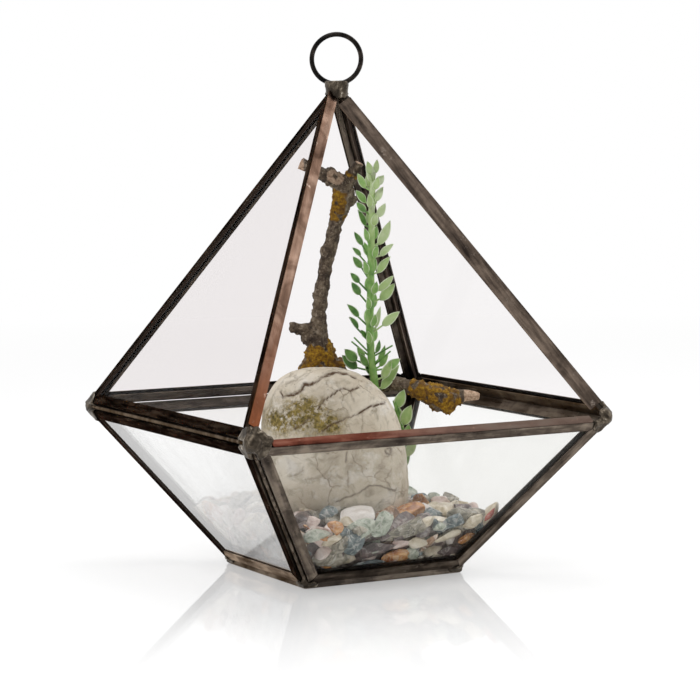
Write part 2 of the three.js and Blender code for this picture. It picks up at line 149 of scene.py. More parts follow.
WHITE = rgb(1, 1, 1)
floor = new_piece("studio_floor", [(x * FLOOR_HALF, y * FLOOR_HALF, -FLOOR_DROP) for x, y in SQUARE],
                  [(0, 1, 2, 3)])
floor_finish, tree = new_finish("white_gloss_table")
from_centre = add(tree, "VectorMath", {0: here(tree)}, operation="LENGTH").outputs["Value"]
matt = add(tree, "BsdfDiffuse", {"Color": rgb(TABLE_GREY, TABLE_GREY, TABLE_GREY)})
lift = add(tree, "Emission", {"Color": WHITE, "Strength": TABLE_LIFT})
table = add(tree, "AddShader", {0: matt, 1: lift})
gloss = add(tree, "BsdfGlossy", {"Color": WHITE, "Roughness": TABLE_ROUGHNESS})
near = blend(tree, rescale(tree, from_centre, *MIRROR_FADES, MIRROR_MOST, 0.0), table, gloss)
far = add(tree, "Emission", {"Color": WHITE, "Strength": 1.0})
output(tree, blend(tree, rescale(tree, from_centre, *TABLE_FADES), near, far))
floor.data.materials.append(floor_finish)


# Studio light: a white room, dimmer in front of the lantern, with a large soft box high on
# the left, a smaller one on the right, and one overhead.
LIGHTS_AIM = Vector((0, 0, 0.1))
# Soft boxes: place, size and power
SOFT_BOXES = [("light_left", (-1.1, -0.7, 1.1), (0.7, 0.7), 9),
              ("light_right", (1.2, -0.5, 0.7), (0.4, 0.8), 5),
              ("light_top", (0.1, 0.2, 1.5), (0.8, 0.8), 6)]
ROOM_BRIGHT = 1.0
ROOM_DIM = 0.3
# The room goes from bright to dim as its direction turns from behind the lantern to the viewer
DIMS_TOWARDS_VIEWER = (-0.15, 0.7)


def sum_up(tree, operation, a, b=0.0, clamp=False):
    return add(tree, "Math", {0: a, 1: b}, operation=operation, use_clamp=clamp)


def dot(tree, a, b):
    return add(tree, "VectorMath", {0: a, 1: b}, operation="DOT_PRODUCT").outputs["Value"]


world = bpy.data.worlds.new("white_room")
world.use_nodes = True
tree = world.node_tree
frontward = dot(tree, add(tree, "TexCoord").outputs["Generated"],
                (math.sin(VIEW_TURN), -math.cos(VIEW_TURN), 0))
room_light = sum_up(tree, "MAXIMUM", rescale(tree, frontward, *DIMS_TOWARDS_VIEWER, ROOM_BRIGHT, ROOM_DIM),
                    add(tree, "LightPath").outputs["Is Camera Ray"])
tree.nodes["Background"].inputs["Color"].default_value = WHITE
tree.links.new(room_light.outputs[0], tree.nodes["Background"].inputs["Strength"])
bpy.context.scene.world = world
for name, position, size, power in SOFT_BOXES:
    light = bpy.data.lights.new(name, "AREA")
    light.shape = "RECTANGLE"
    light.size, light.size_y = size
    light.energy = power
    box = in_scene(name, light)
    box.location = position
    box.rotation_euler = (Vector(position) - LIGHTS_AIM).to_track_quat("Z", "Y").to_euler()


# Glass: eight flat panes of clear 2 mm window glass, cut to the facets and pushed into the
# cames. Their cut edges sit in the shade inside the cames, and glow a flat dark colour as
# painted shade. They gleam at a shallow angle, and carry a thin haze of dust and wiping
# marks, most of it low down on the left.
GLEAM_LEAST = 0.002
GLASS_ROUGHNESS = 0.02
DUST_COLOUR = rgb(0.8, 0.8, 0.77)
DUST_MOST = 0.5
# Painted shade: the flat dark colour the cut edges glow with, for the shade inside the came channel
CUT_EDGE_PAINTED_SHADE = rgb(0.026, 0.018, 0.014)
# A face counts as a cut edge where its normal lies less than this along the pane's own
CUT_EDGE_BELOW = 0.7
# For each kind of pane: its tint, how fast the gleam falls off, its haze, and its even film of dust
DUSTY_PANE = (rgb(0.93, 0.93, 0.93), 2.4, 0.09, 0.0)
UPPER_PANE = (rgb(0.96, 0.95, 0.95), 10, 0.008, 0.0)
LOWER_PANE = (rgb(0.97, 0.97, 0.965), 6, 0.03, 0.045)


def speckle(tree, size_mm, detail=4.0, rough=0.55, stretch=(1, 1, 1), twist=0.0, run=None):
    """Soft random grain, 0 to 1, in object space; size_mm is the width of one blotch. With a
    run direction the blotches are drawn out eight times along it."""
    place = here(tree)
    if run:
        turn = run.to_track_quat("X", "Z").to_euler()
        moved = add(tree, "Mapping", {"Vector": place, "Rotation": tuple(turn),
                                      "Scale": (8, 1, 1)}, vector_type="TEXTURE")
    else:
        moved = add(tree, "Mapping", {"Vector": place, "Scale": stretch})
    return add(tree, "TexNoise", {"Vector": moved, "Scale": 1000 / size_mm, "Detail": detail,
                                  "Roughness": rough, "Distortion": twist})


def patches(tree, size_mm, low, high, most=1.0, **grain):
    """Patches of grain, from 0 where it is low to most where it is high."""
    return rescale(tree, speckle(tree, size_mm, **grain), low, high, 0.0, most)


def clear_glass(name, shown, tint, gleam_power, haze, film):
    finish, tree = new_finish(name)
    facing = add(tree, "LayerWeight", {"Blend": 0.5}).outputs["Facing"]
    gleam = sum_up(tree, "ADD", sum_up(tree, "POWER", facing, gleam_power), GLEAM_LEAST, clamp=True)
    through = add(tree, "BsdfTransparent", {"Color": tint})
    shine = add(tree, "BsdfGlossy", {"Color": WHITE, "Roughness": GLASS_ROUGHNESS})
    clean = blend(tree, gleam, through, shine)
    smears = patches(tree, 45, 0.42, 0.75, detail=5, rough=0.6, stretch=(1, 1, 0.5), twist=1.5)
    specks = patches(tree, 1.6, 0.74, 0.8, detail=1)
    dust = sum_up(tree, "ADD", sum_up(tree, "MULTIPLY", sum_up(tree, "ADD", smears, specks), haze), film)
    veil = add(tree, "BsdfTranslucent", {"Color": DUST_COLOUR})
    sheet = blend(tree, sum_up(tree, "MINIMUM", dust, DUST_MOST), clean, veil)
    broad = max(shown.data.polygons, key=lambda face: face.area).normal
    across = dot(tree, add(tree, "NewGeometry").outputs["True Normal"], tuple(broad))
    cut = sum_up(tree, "LESS_THAN", sum_up(tree, "ABSOLUTE", across), CUT_EDGE_BELOW)
    # The cut edges glow flat dark as painted shade, in place of the shade inside the cames
    painted_shade_edge = add(tree, "Emission", {"Color": CUT_EDGE_PAINTED_SHADE, "Strength": 1.0})
    output(tree, blend(tree, cut, sheet, painted_shade_edge))
    return finish


def nodes_called(start):
    return [(node, shown) for node, shown in sorted(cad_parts.items()) if node.startswith(start)]


def coat(piece, finish):
    piece.data.materials.clear()
    piece.data.materials.append(finish)
    return piece


for node, shown in nodes_called("pane_"):
    pane = UPPER_PANE if node.endswith("_upper") else LOWER_PANE
    if node == "pane_left_lower":
        pane = DUSTY_PANE
    coat(shown, clear_glass(node.replace("pane", "glass"), shown, *pane))


# Cames: the folded U-section channel round every pane, dark bronze brown from the patina
# bath, with paler rubbed places. Each is a straight length, mitred at both ends. Each side,
# and some single cames, get a lighter or darker copy of the metal as painted light and shade:
# painted shade darkens the left side, a painted highlight lightens the front, and a painted
# reflection of the bright floor makes the left foot palest.
METAL = {"Metallic": 1.0}
WEAR_BAND = 0.12
CAME_COLOURS = [(0.37, (0.022, 0.018, 0.016)), (0.49, (0.075, 0.061, 0.05)), (0.6, (0.18, 0.148, 0.118))]
CAME_WORN = (0.34, 0.29, 0.24)
CAME_WEAR_FROM = 0.64
CAME_ROUGHNESS = 0.34
CAME_BLOTCH = 16
CAME_GRAIN = 0.022
CAME_ROUNDING = 0.22
SHARP_ANGLE = math.radians(35)
PALE_EDGE = rgb(0.6, 0.5, 0.42)
DULL_EDGE = rgb(0.24, 0.18, 0.15)
# Painted light and shade: how much lighter or darker each came is drawn, for single cames and else for each
# side
CAME_PAINTED_LIGHT = {"came_left_lower_foot": 3.3, "came_base_left": 1.2,
              "came_front_lower_foot": 0.8, "came_base_front": 1.2}
SIDE_PAINTED_LIGHT = {"left": 0.45, "front": 1.35, "right": 1.0, "back": 1.0, "base": 1.0}


def tints(tree, value, stops):
    """Colours along a value: stops are (position, (r, g, b))."""
    made = add(tree, "ValToRGB", {"Fac": value})
    points = made.color_ramp.elements
    while len(points) < len(stops):
        points.new(0.5)
    for point, (position, colour) in zip(points, stops):
        point.position = position
        point.color = (*colour, 1)
    return made


def overlay(tree, share, under, over):
    made = add(tree, "Mix", {0: share, 6: under, 7: over}, data_type="RGBA")
    return made.outputs[2]


def surfaced(finish, tree, colour, roughness, grain, depth_mm, more=None):
    """Ends a finish with a solid surface that the grain raises by depth_mm."""
    raised = add(tree, "Bump", {"Height": grain, "Distance": depth_mm * MM, "Strength": 1.0})
    base = add(tree, "BsdfPrincipled", {"Base Color": colour, "Roughness": roughness,
                                        "Normal": raised, **(more or {})})
    output(tree, base)
    return finish


def metal(name, run, colours, blotch, wear_colour, wear_from, roughness, depth_mm, change=None,
          at_edge=PALE_EDGE):
    """Blotched metal streaked along its run; change is (axis, from_mm, to_mm, colour) for a
    tone that comes in along the piece, at_edge what it mirrors at a shallow angle."""
    finish, tree = new_finish(name)
    streaks = speckle(tree, 2.6, detail=5, rough=0.6, run=run)
    blotches = speckle(tree, blotch, detail=6, rough=0.62, twist=0.6)
    cloudy = sum_up(tree, "MULTIPLY", sum_up(tree, "ADD", blotches, streaks), 0.5)
    fine = speckle(tree, 1.3, detail=3, rough=0.6, run=run)
    colour = tints(tree, cloudy, colours)
    if change:
        axis, start, end, tone = change
        place = add(tree, "SeparateXYZ", {0: here(tree)})
        share = sum_up(tree, "MULTIPLY", rescale(tree, place.outputs[axis], start * MM, end * MM),
                       rescale(tree, cloudy, 0.3, 0.6, 0.45, 1.0))
        colour = overlay(tree, share, colour, tone)
    worn = patches(tree, 4.5, wear_from, wear_from + WEAR_BAND, detail=5, rough=0.7)
    colour = overlay(tree, worn, colour, wear_colour)
    rough = rescale(tree, fine, 0.3, 0.7, roughness - 0.09, roughness + 0.14)
    return surfaced(finish, tree, colour, rough, fine, depth_mm, {**METAL, "Specular Tint": at_edge})


def soften_edges(shown, width_mm):
    rounding = shown.modifiers.new("soft_edges", "BEVEL")
    rounding.width = width_mm * MM
    rounding.segments = 2
    rounding.limit_method = "ANGLE"
    rounding.angle_limit = SHARP_ANGLE
    rounding.harden_normals = False


def length_of(shown):
    """The direction a straight length runs in: between its two points farthest apart."""
    points = [v.co for v in shown.data.vertices]
    run = max((a - b for a in points for b in points), key=lambda gap: gap.length).normalized()
    return -run if (round(run.z, 1), round(run.x, 1), run.y) < (0, 0, 0) else run


# tone draws the patina lighter or darker as painted light and shade; darker copies also mirror a dull colour
# at a shallow angle
def came_metal(run, tone=1.0):
    stops = [(position, tuple(tone * part for part in colour)) for position, colour in CAME_COLOURS]
    worn = rgb(*(tone * part for part in CAME_WORN))
    return metal("bronze_came", run, stops, CAME_BLOTCH, worn, CAME_WEAR_FROM, CAME_ROUGHNESS, CAME_GRAIN,
                 at_edge=DULL_EDGE if tone < 1 else PALE_EDGE)


came_finishes = {}
for node, shown in nodes_called("came_"):
    # Each came gets a lighter or darker copy of the metal, as painted light and shade
    tone = CAME_PAINTED_LIGHT.get(node, SIDE_PAINTED_LIGHT[node.split("_")[1]])
    run = length_of(shown)
    kind = (tone, *(round(part, 1) + 0.0 for part in run))
    if kind not in came_finishes:
        came_finishes[kind] = came_metal(run, tone)
    soften_edges(coat(shown, came_finishes[kind]), CAME_ROUNDING)


# Edge strips: thin flat copper strips laid over the bare came edges that border the open
# facet, browned by the same patina. The left one stays copper red towards the belt, the right
# one is nearly bronze, and the belt strip turns from dark red to grey along its length.
STRIP_STOPS = (0.37, 0.49, 0.61)
STRIP_WEAR_FROM = 0.62
STRIP_ROUGHNESS = 0.4
STRIP_BLOTCH = 13
STRIP_GRAIN = 0.04
STRIP_ROUNDING = 0.12
# For each strip: its colours from dark to pale, its worn colour, and the tone that comes in
EDGE_STRIPS = [
    ("edge_strip_left", [(0.035, 0.02, 0.014), (0.115, 0.07, 0.05), (0.24, 0.16, 0.12)],
     rgb(0.36, 0.27, 0.22), ("Z", 125, 80, rgb(0.125, 0.033, 0.01))),
    ("edge_strip_right", [(0.05, 0.038, 0.032), (0.17, 0.128, 0.1), (0.3, 0.23, 0.18)],
     rgb(0.46, 0.38, 0.32), None),
    ("edge_strip_belt", [(0.035, 0.012, 0.009), (0.105, 0.032, 0.022), (0.2, 0.085, 0.06)],
     rgb(0.4, 0.24, 0.17), ("X", -35, 30, rgb(0.155, 0.12, 0.1))),
]
for node, colours, worn_colour, change in EDGE_STRIPS:
    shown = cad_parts[node]
    copper = metal(node.replace("edge", "copper"), length_of(shown), list(zip(STRIP_STOPS, colours)),
                   STRIP_BLOTCH, worn_colour, STRIP_WEAR_FROM, STRIP_ROUGHNESS, STRIP_GRAIN, change)
    soften_edges(coat(shown, copper), STRIP_ROUNDING)


# Solder: at every corner the came ends are run together with tin solder, left lumpy by the
# iron, then darkened, with a few bright streaks. Thin runs of it fill the grooves between
# neighbouring cames, except along the back of the belt and round the open facet.
SOLDER_COLOURS = [(0.3, (0.018, 0.015, 0.012)), (0.5, (0.07, 0.056, 0.042)),
                  (0.62, (0.17, 0.14, 0.105)), (0.7, (0.55, 0.5, 0.43))]
SOLDER_VOXEL = 0.3
SOLDER_FLOW = 28
SOLDER_GRAIN = 0.12
# Drops that fill out a joint: centre and radius
DROPS = {"solder_belt_front_left": [
    ((-86.6, -88.0, 76.6), 2.5), ((-85.8, -87.4, 79.0), 1.9), ((-84.4, -88.9, 76.8), 2.2),
    ((-83.2, -89.0, 75.2), 2.3), ((-80.8, -89.4, 74.6), 2.0)]}
BELT_HALF = 90.0
BELT_Z = 73.6
FOOT_HALF = 39.8
FOOT_Z = 2.8
TIP_Z = 224.3
SEAM_AIM_Z = 70
SEAM_RADIUS = 1.05
SEAM_DEPTH = 0.5
SEAM_SIDES = 8
SEAM_STEP = 1.2


def solder_metal():
    finish, tree = new_finish("dark_solder")
    cloudy = speckle(tree, 5, detail=6, rough=0.65, stretch=(1, 1, 0.55), twist=1.4)
    fine = speckle(tree, 0.8, detail=4, rough=0.7)
    rough = rescale(tree, fine, 0.3, 0.7, 0.28, 0.55)
    return surfaced(finish, tree, tints(tree, cloudy, SOLDER_COLOURS), rough, fine, SOLDER_GRAIN, METAL)


def shape_now(piece):
    """Makes what the modifiers show the piece's own mesh."""
    seen = piece.evaluated_get(bpy.context.evaluated_depsgraph_get())
    shaped = bpy.data.meshes.new_from_object(seen)
    piece.modifiers.clear()
    piece.data = shaped


def remeshed(piece, voxel_mm):
    grid = piece.modifiers.new("even_mesh", "REMESH")
    grid.mode = "VOXEL"
    grid.voxel_size = voxel_mm * MM
    grid.use_smooth_shade = True
    shape_now(piece)


def pushed_out(piece, distance_mm):
    """Moves each point along its normal by distance_mm(place, normal), place in millimetres."""
    points = [(v.co / MM, v.normal.copy()) for v in piece.data.vertices]
    moved = [(place + normal * distance_mm(place, normal)) * MM for place, normal in points]
    piece.data.vertices.foreach_set("co", [value for point in moved for value in point])
    piece.data.update()


def root_on(piece, finish, slot, *nodes):
    coat(piece, finish)
    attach(piece, "root")
    if nodes:
        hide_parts(*nodes)


def ball(subdivisions):
    round_mesh = bmesh.new()
    bmesh.ops.create_icosphere(round_mesh, subdivisions=subdivisions, radius=1)
    points = [v.co.copy() for v in round_mesh.verts]
    faces = [tuple(v.index for v in f.verts) for f in round_mesh.faces]
    round_mesh.free()
    return points, faces


def join_on(vertices, faces, more, more_faces):
    first = len(vertices)
    vertices.extend(more)
    faces.extend(tuple(first + k for k in face) for face in more_faces)


def join_ball(vertices, faces, centre, radius):
    join_on(vertices, faces, [centre + point * radius for point in ball_points], ball_faces)


def beaten(place, _):
    return noise.noise(place * 0.42) * 0.22 + noise.noise(place * 1.1) * 0.09


ball_points, ball_faces = ball(3)
bead_metal = solder_metal()
for node, shown in nodes_called("solder_"):
    bead_points = [v.co.copy() for v in shown.data.vertices]
    bead_faces = [tuple(face.vertices) for face in shown.data.polygons]
    for centre, radius in DROPS.get(node, []):
        join_ball(bead_points, bead_faces, Vector(centre) * MM, radius * MM)
    bead = new_piece(node + "_bead", bead_points, bead_faces)
    remeshed(bead, SOLDER_VOXEL)
    bead.modifiers.new("flow", "SMOOTH").iterations = SOLDER_FLOW
    shape_now(bead)
    pushed_out(bead, beaten)
    root_on(bead, bead_metal, "solder", node)


def circle(centre, side, top, radius, sides):
    """Points round a centre, from side towards top."""
    angles = [2 * math.pi * j / sides for j in range(sides)]
    return [centre + (side * math.cos(angle) + top * math.sin(angle)) * radius for angle in angles]


def tube_faces(rings, sides, closed=False):
    """Faces between rings of points, open at the ends or closed end to end."""
    faces = []
    for i in range(rings if closed else rings - 1):
        this, after = i * sides, (i + 1) % rings * sides
        for j in range(sides):
            k = (j + 1) % sides
            faces.append((this + j, this + k, after + k, after + j))
    return faces


belt = [Vector((x * BELT_HALF, y * BELT_HALF, BELT_Z)) for x, y in SQUARE]
foot = [Vector((x * FOOT_HALF, y * FOOT_HALF, FOOT_Z)) for x, y in SQUARE]
tip = Vector((0, 0, TIP_Z))
seam_lines = ([(belt[k], tip) for k in (2, 3)] + [(belt[k], belt[(k + 1) % 4]) for k in (1, 3)]
              + [(foot[k], belt[k]) for k in range(4)] + [(foot[k], foot[(k + 1) % 4]) for k in range(4)])
seam_points, seam_faces = [], []
for start, end in seam_lines:
    run = (end - start).normalized()
    halfway = (start + end) / 2
    inward = Vector((-halfway.x, -halfway.y, SEAM_AIM_Z - halfway.z))
    inward = (inward - run * inward.dot(run)).normalized()
    steps = int((end - start).length / SEAM_STEP)
    wire = []
    for i in range(steps + 1):
        depth = SEAM_DEPTH + 0.1 * noise.noise(start * 0.3 + run * i * 0.35)
        radius = SEAM_RADIUS * (1 + 0.05 * noise.noise(end * 0.2 + run * i * 0.7))
        middle = start.lerp(end, i / steps) + inward * depth
        wire += circle(middle, inward, run.cross(inward), radius, SEAM_SIDES)
    join_on(seam_points, seam_faces, [point * MM for point in wire], tube_faces(steps + 1, SEAM_SIDES))
seams = new_piece("solder_seams", seam_points, seam_faces, smooth=True)
root_on(seams, came_metal(Vector((0, 0, 1))), "solder")


# Hanging ring: a loop of thin near-black wire, bent round with its ends butted inside the
# solder at the tip of the lantern.
WIRE_COLOURS = [(0.35, (0.006, 0.006, 0.006)), (0.55, (0.02, 0.017, 0.015)), (0.75, (0.07, 0.055, 0.045))]
RING_RADIUS = 11.3
WIRE_RADIUS = 1.12
RING_STEPS = 96
WIRE_SIDES = 16
WIRE_ROUGHNESS = 0.38
WIRE_GRAIN = 0.03
RING_TURN = math.radians(-33)


def patinated_wire():
    finish, tree = new_finish("black_wire")
    cloudy = speckle(tree, 6, detail=5)
    return surfaced(finish, tree, tints(tree, cloudy, WIRE_COLOURS), WIRE_ROUGHNESS, speckle(tree, 0.7),
                    WIRE_GRAIN, METAL)


ring_low, ring_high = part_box("hanging_ring")
ring_centre = (Vector(ring_low) + Vector(ring_high)) / 2
ring_across = Vector((-math.sin(RING_TURN), math.cos(RING_TURN), 0))
ring_points = []
for i in range(RING_STEPS):
    turn = 2 * math.pi * i / RING_STEPS
    outward = Vector((math.cos(turn) * math.cos(RING_TURN), math.cos(turn) * math.sin(RING_TURN),
                      math.sin(turn)))
    wobble = 1 + 0.006 * math.sin(2 * turn + 0.6)
    ring_points += circle(ring_centre + outward * RING_RADIUS * wobble * MM, outward, ring_across,
                          WIRE_RADIUS * MM, WIRE_SIDES)
ring_faces = [(a, d, c, b) for a, b, c, d in tube_faces(RING_STEPS, WIRE_SIDES, closed=True)]
ring = new_piece("wire_ring", ring_points, ring_faces, smooth=True)
root_on(ring, patinated_wire(), "hanging_ring", "hanging_ring")


# The planting is laid out facing the viewer: x runs to the right of the picture, y away
# from the viewer and z up, all in millimetres from the middle of the base.
facing_viewer = Matrix.Rotation(VIEW_TURN, 4, "Z") @ Matrix.Scale(MM, 4)


def catmull(points, steps):
    """A smooth curve through points of any number of values, with steps to each span."""
    padded = [points[0]] + list(points) + [points[-1]]
    curve = []
    for p0, p1, p2, p3 in zip(padded, padded[1:], padded[2:], padded[3:]):
        for k in range(steps):
            t = k / steps
            curve.append(tuple(0.5 * (2 * b + (c - a) * t + (2 * a - 5 * b + 4 * c - d) * t * t
                                      + (3 * b - a - 3 * c + d) * t ** 3)
                               for a, b, c, d in zip(p0, p1, p2, p3)))
    curve.append(tuple(points[-1]))
    return curve


# Stone: one large rounded limestone boulder, off-white and matt, split by thin brown cracks
# and stained olive by moss on its left shoulder. It stands a third deep in the gravel.
STONE = {"across": 33, "deep": 24, "up": 44.3, "down": 38, "x": -2.5, "y": -10, "z": 51, "lean": -0.14}
STONE_POWER = 2.4
STONE_FINENESS = 7
STONE_GRAIN = 0.3
# Without a seed, the noise that bends the cracks and the stem changes with every run
WANDER_SEED = 4
CRACK_WIDTH = 0.4
CRACK_DEPTH = 0.35
PHOTO_SIDE = STONE["y"] + 4
LIMESTONE_COLOURS = [(0.3, (0.43, 0.36, 0.26)), (0.45, (0.56, 0.485, 0.375)),
                     (0.58, (0.67, 0.6, 0.485)), (0.72, (0.77, 0.72, 0.63))]
MOSS_COLOURS = [(0.35, (0.055, 0.04, 0.007)), (0.65, (0.36, 0.265, 0.07))]
# Cracks: how wide each one is, then x and z along it
CRACKS = [
    (1.0, [(-27, 85), (-26, 82.4), (-21, 84), (-16.5, 88), (-11.5, 89.2), (-7.4, 91.6), (-2, 93), (3, 93.4),
           (7, 91.2)]),
    (0.9, [(-10.5, 78), (-7.8, 81.6), (-1.6, 85.2), (2, 86.6), (5, 85.4), (9.4, 87.2)]),
    (0.5, [(5, 85.4), (6.2, 81)]),
    (0.8, [(-21, 69), (-16.4, 71.8), (-14.4, 73.8)]),
    (1.0, [(-8, 68), (-3, 71.4), (2.6, 74), (8.4, 75.8), (14.6, 78.2), (20, 79)]),
    (0.7, [(-2, 36), (4.5, 38), (9, 41), (12.2, 42.2), (18.8, 41.6), (24, 40.6)]),
    (0.6, [(3.2, 58.4), (2.6, 54)]),
    (0.4, [(3, 49), (3.4, 43)]),
    (0.4, [(-20.6, 92), (-19.2, 89.8), (-24, 88.2)]),
    (0.4, [(-17.8, 50.4), (-24.4, 47)]),
    (0.4, [(9, 75.8), (10.4, 71), (9.6, 66)]),
    (0.35, [(-31, 60), (-22, 57), (-14, 60), (-6, 58)]),
    (0.6, [(20.7, 58), (21.3, 59), (22.4, 59), (22.9, 58), (22.3, 57.1), (21.2, 57.1), (20.7, 58)]),
]
# Moss cushions: x, z and radius
MOSS = [(-17, 79, 5.5), (-12.4, 76, 6.2), (-9, 72.4, 6), (-5, 71.4, 5), (-22.5, 75, 6), (-28, 72, 6.5),
        (-18, 72.5, 5.5)]


def from_line(x, z, line):
    """Shortest distance from a point to a broken line."""
    best = 1e9
    for (x0, z0), (x1, z1) in zip(line, line[1:]):
        dx, dz = x1 - x0, z1 - z0
        t = max(0.0, min(1.0, ((x - x0) * dx + (z - z0) * dz) / (dx * dx + dz * dz)))
        best = min(best, math.hypot(x - x0 - t * dx, z - z0 - t * dz))
    return best


def stone_point(direction):
    x, y, z = direction
    height = STONE["up"] if z > 0 else STONE["down"]
    total = (abs(x / STONE["across"]) ** STONE_POWER + abs(y / STONE["deep"]) ** STONE_POWER
             + abs(z / height) ** STONE_POWER)
    dent = 0.5 * math.sin(4.1 * x + 1.3) * math.cos(3.3 * z + 2 * y) + 0.4 * math.sin(6.2 * y + 2.7 * z)
    radius = total ** (-1 / STONE_POWER) + dent
    return Vector((STONE["x"] + x * radius + STONE["lean"] * z * radius, STONE["y"] + y * radius,
                   STONE["z"] + z * radius))


def mark(mesh, **marks):
    """Keeps a value for each point, for the material to read."""
    for name, values in marks.items():
        mesh.attributes.new(name, "FLOAT", "POINT").data.foreach_set("value", values)


def build_stone():
    points, faces = ball(STONE_FINENESS)
    places, cracked, mossy = [], [], []
    for out in points:
        place = stone_point(out)
        wander = noise.noise_vector(place * 0.12) * 1.3 + noise.noise_vector(place * 0.55) * 0.45
        x, z = place.x + wander.x, place.z + wander.z
        if place.y < PHOTO_SIDE:
            crack = max(width * math.exp(-(from_line(x, z, line) / CRACK_WIDTH) ** 2)
                        for width, line in CRACKS)
            moss = max(math.exp(-((x - mx) ** 2 + (z - mz) ** 2) / size ** 2) for mx, mz, size in MOSS)
        else:
            crack = 0.8 * math.exp(-(noise.noise(place * 0.075) / 0.012) ** 2)
            moss = max(0.0, noise.noise(place * 0.05 + Vector((7, 3, 1)))) * 0.5
        hollows = noise.fractal(place * 0.16, 0.9, 2.1, 4) * 0.32
        pits = noise.fractal(place * 0.8, 0.9, 2.1, 3) * 0.09
        places.append(place + out * (hollows + pits - CRACK_DEPTH * crack))
        cracked.append(crack)
        mossy.append(moss)
    piece = new_piece("limestone_boulder", places, faces, smooth=True)
    piece.data.transform(facing_viewer)
    mark(piece.data, crack=cracked, moss=mossy)
    return piece


def marked(tree, name):
    return add(tree, "Attribute", attribute_name=name).outputs["Fac"]


def limestone():
    finish, tree = new_finish("cracked_limestone")
    clouds = speckle(tree, 22, detail=6, rough=0.6, twist=0.5)
    grain = speckle(tree, 1.5, detail=5, rough=0.7)
    stains = patches(tree, 9, 0.5, 0.68, 0.75, detail=5, rough=0.65, twist=1.2)
    pale = patches(tree, 12, 0.54, 0.66, 0.7, detail=6, rough=0.7)
    shake = add(tree, "TexNoise", {"Vector": here(tree), "Scale": 110.0, "Detail": 4.0})
    shaken = add(tree, "VectorMath", {0: shake.outputs["Color"], 1: (0.012, 0.012, 0.012), 2: here(tree)},
                 operation="MULTIPLY_ADD")
    cells = add(tree, "TexVoronoi", {"Vector": shaken, "Scale": 62.0}, feature="DISTANCE_TO_EDGE")
    hairs = sum_up(tree, "MULTIPLY", rescale(tree, cells, 0.0, 0.028, 0.75, 0.0),
                   patches(tree, 14, 0.45, 0.6, detail=3))
    dots = patches(tree, 2.2, 0.7, 0.76, 0.65, detail=2)
    cushions = rescale(tree, speckle(tree, 2.6, detail=6, rough=0.75), 0.38, 0.57, 0.12, 1.8)
    moss = sum_up(tree, "MULTIPLY", marked(tree, "moss"), cushions, clamp=True)
    gaps = rescale(tree, speckle(tree, 4, detail=4), 0.3, 0.5, 0.45, 1.3)
    split = sum_up(tree, "MULTIPLY", marked(tree, "crack"), gaps, clamp=True)
    colour = tints(tree, clouds, LIMESTONE_COLOURS)
    for share, over in ((stains, rgb(0.27, 0.225, 0.155)), (pale, rgb(0.78, 0.74, 0.68)),
                        (hairs, rgb(0.17, 0.12, 0.07)), (dots, rgb(0.2, 0.16, 0.11)),
                        (moss, tints(tree, grain, MOSS_COLOURS)), (split, rgb(0.085, 0.045, 0.02))):
        colour = overlay(tree, share, colour, over)
    return surfaced(finish, tree, colour, rescale(tree, grain, 0.3, 0.7, 0.7, 0.92), grain, STONE_GRAIN)


noise.seed_set(WANDER_SEED)
root_on(build_stone(), limestone(), "stone", "stone")


# Gravel: a bed of tumbled agate and quartz chips, glossy, in slate, cream, rose, amber, red,
# mint, grey, mauve and brown. They lie flat on one another and against the inside of the glass.
ROOM_SLOPE = (BELT_HALF - FOOT_HALF) / (BELT_Z - FOOT_Z)
GLASS_CLEARANCE = 2.0 * math.hypot(1, ROOM_SLOPE)
GRAVEL_FLOOR = 3.7
GRAVEL_EDGE = 24.0
GRAVEL_HEAP = 28.0
GRAVEL_HEAP_HALF = 33.0
CORE_INSET = 4.8
CORE_DROP = 1.5
CORE_VOXEL = 1.5
VEIN_COLOUR = rgb(0.85, 0.82, 0.76)
CHIP_STOPS = (0.35, 0.5, 0.7)
COATED = {"Coat Weight": 0.35, "Coat Roughness": 0.12}
# For each kind: its share of the bed, its colours from dark to pale, the width of its bands,
# its roughness, and how strongly veins show
CHIP_KINDS = {
    "slate": (1.3, [(0.045, 0.07, 0.075), (0.1, 0.14, 0.15), (0.27, 0.31, 0.31)], 6, 0.3, 0.5),
    "cream": (2.4, [(0.46, 0.38, 0.26), (0.66, 0.58, 0.44), (0.84, 0.78, 0.67)], 8, 0.35, 0.2),
    "white": (0.5, [(0.66, 0.6, 0.55), (0.78, 0.73, 0.69), (0.88, 0.85, 0.82)], 10, 0.4, 0.1),
    "rose": (1.2, [(0.46, 0.31, 0.27), (0.72, 0.58, 0.53), (0.88, 0.8, 0.76)], 8, 0.35, 0.3),
    "amber": (0.8, [(0.3, 0.1, 0.03), (0.54, 0.24, 0.08), (0.8, 0.52, 0.26)], 7, 0.25, 0.3),
    "red": (0.1, [(0.16, 0.02, 0.015), (0.34, 0.05, 0.04), (0.55, 0.16, 0.12)], 7, 0.25, 0.2),
    "mint": (1.0, [(0.22, 0.26, 0.2), (0.4, 0.44, 0.36), (0.66, 0.69, 0.6)], 5, 0.35, 0.5),
    "grey": (2.0, [(0.12, 0.108, 0.08), (0.27, 0.245, 0.19), (0.52, 0.48, 0.39)], 5, 0.3, 0.5),
    "mauve": (1.2, [(0.05, 0.035, 0.035), (0.12, 0.088, 0.085), (0.28, 0.21, 0.2)], 7, 0.3, 0.3),
    "brown": (1.5, [(0.11, 0.05, 0.025), (0.3, 0.165, 0.09), (0.58, 0.4, 0.26)], 5, 0.3, 0.6),
}
CHIP_LONG = (5.2, 9.6)
CHIP_FLAT = (0.58, 0.86)
CHIP_THIN = (0.3, 0.46)
CHIP_CUTS = 9
CHIP_GRAIN = 0.12
CHIP_PITCH = 9.8
PANE_PITCH = 10.5
PANE_ROW = 6.2
CHIP_STRAY = 3
CHIP_SEED = 2026
CHIP_CREASE = math.radians(24)
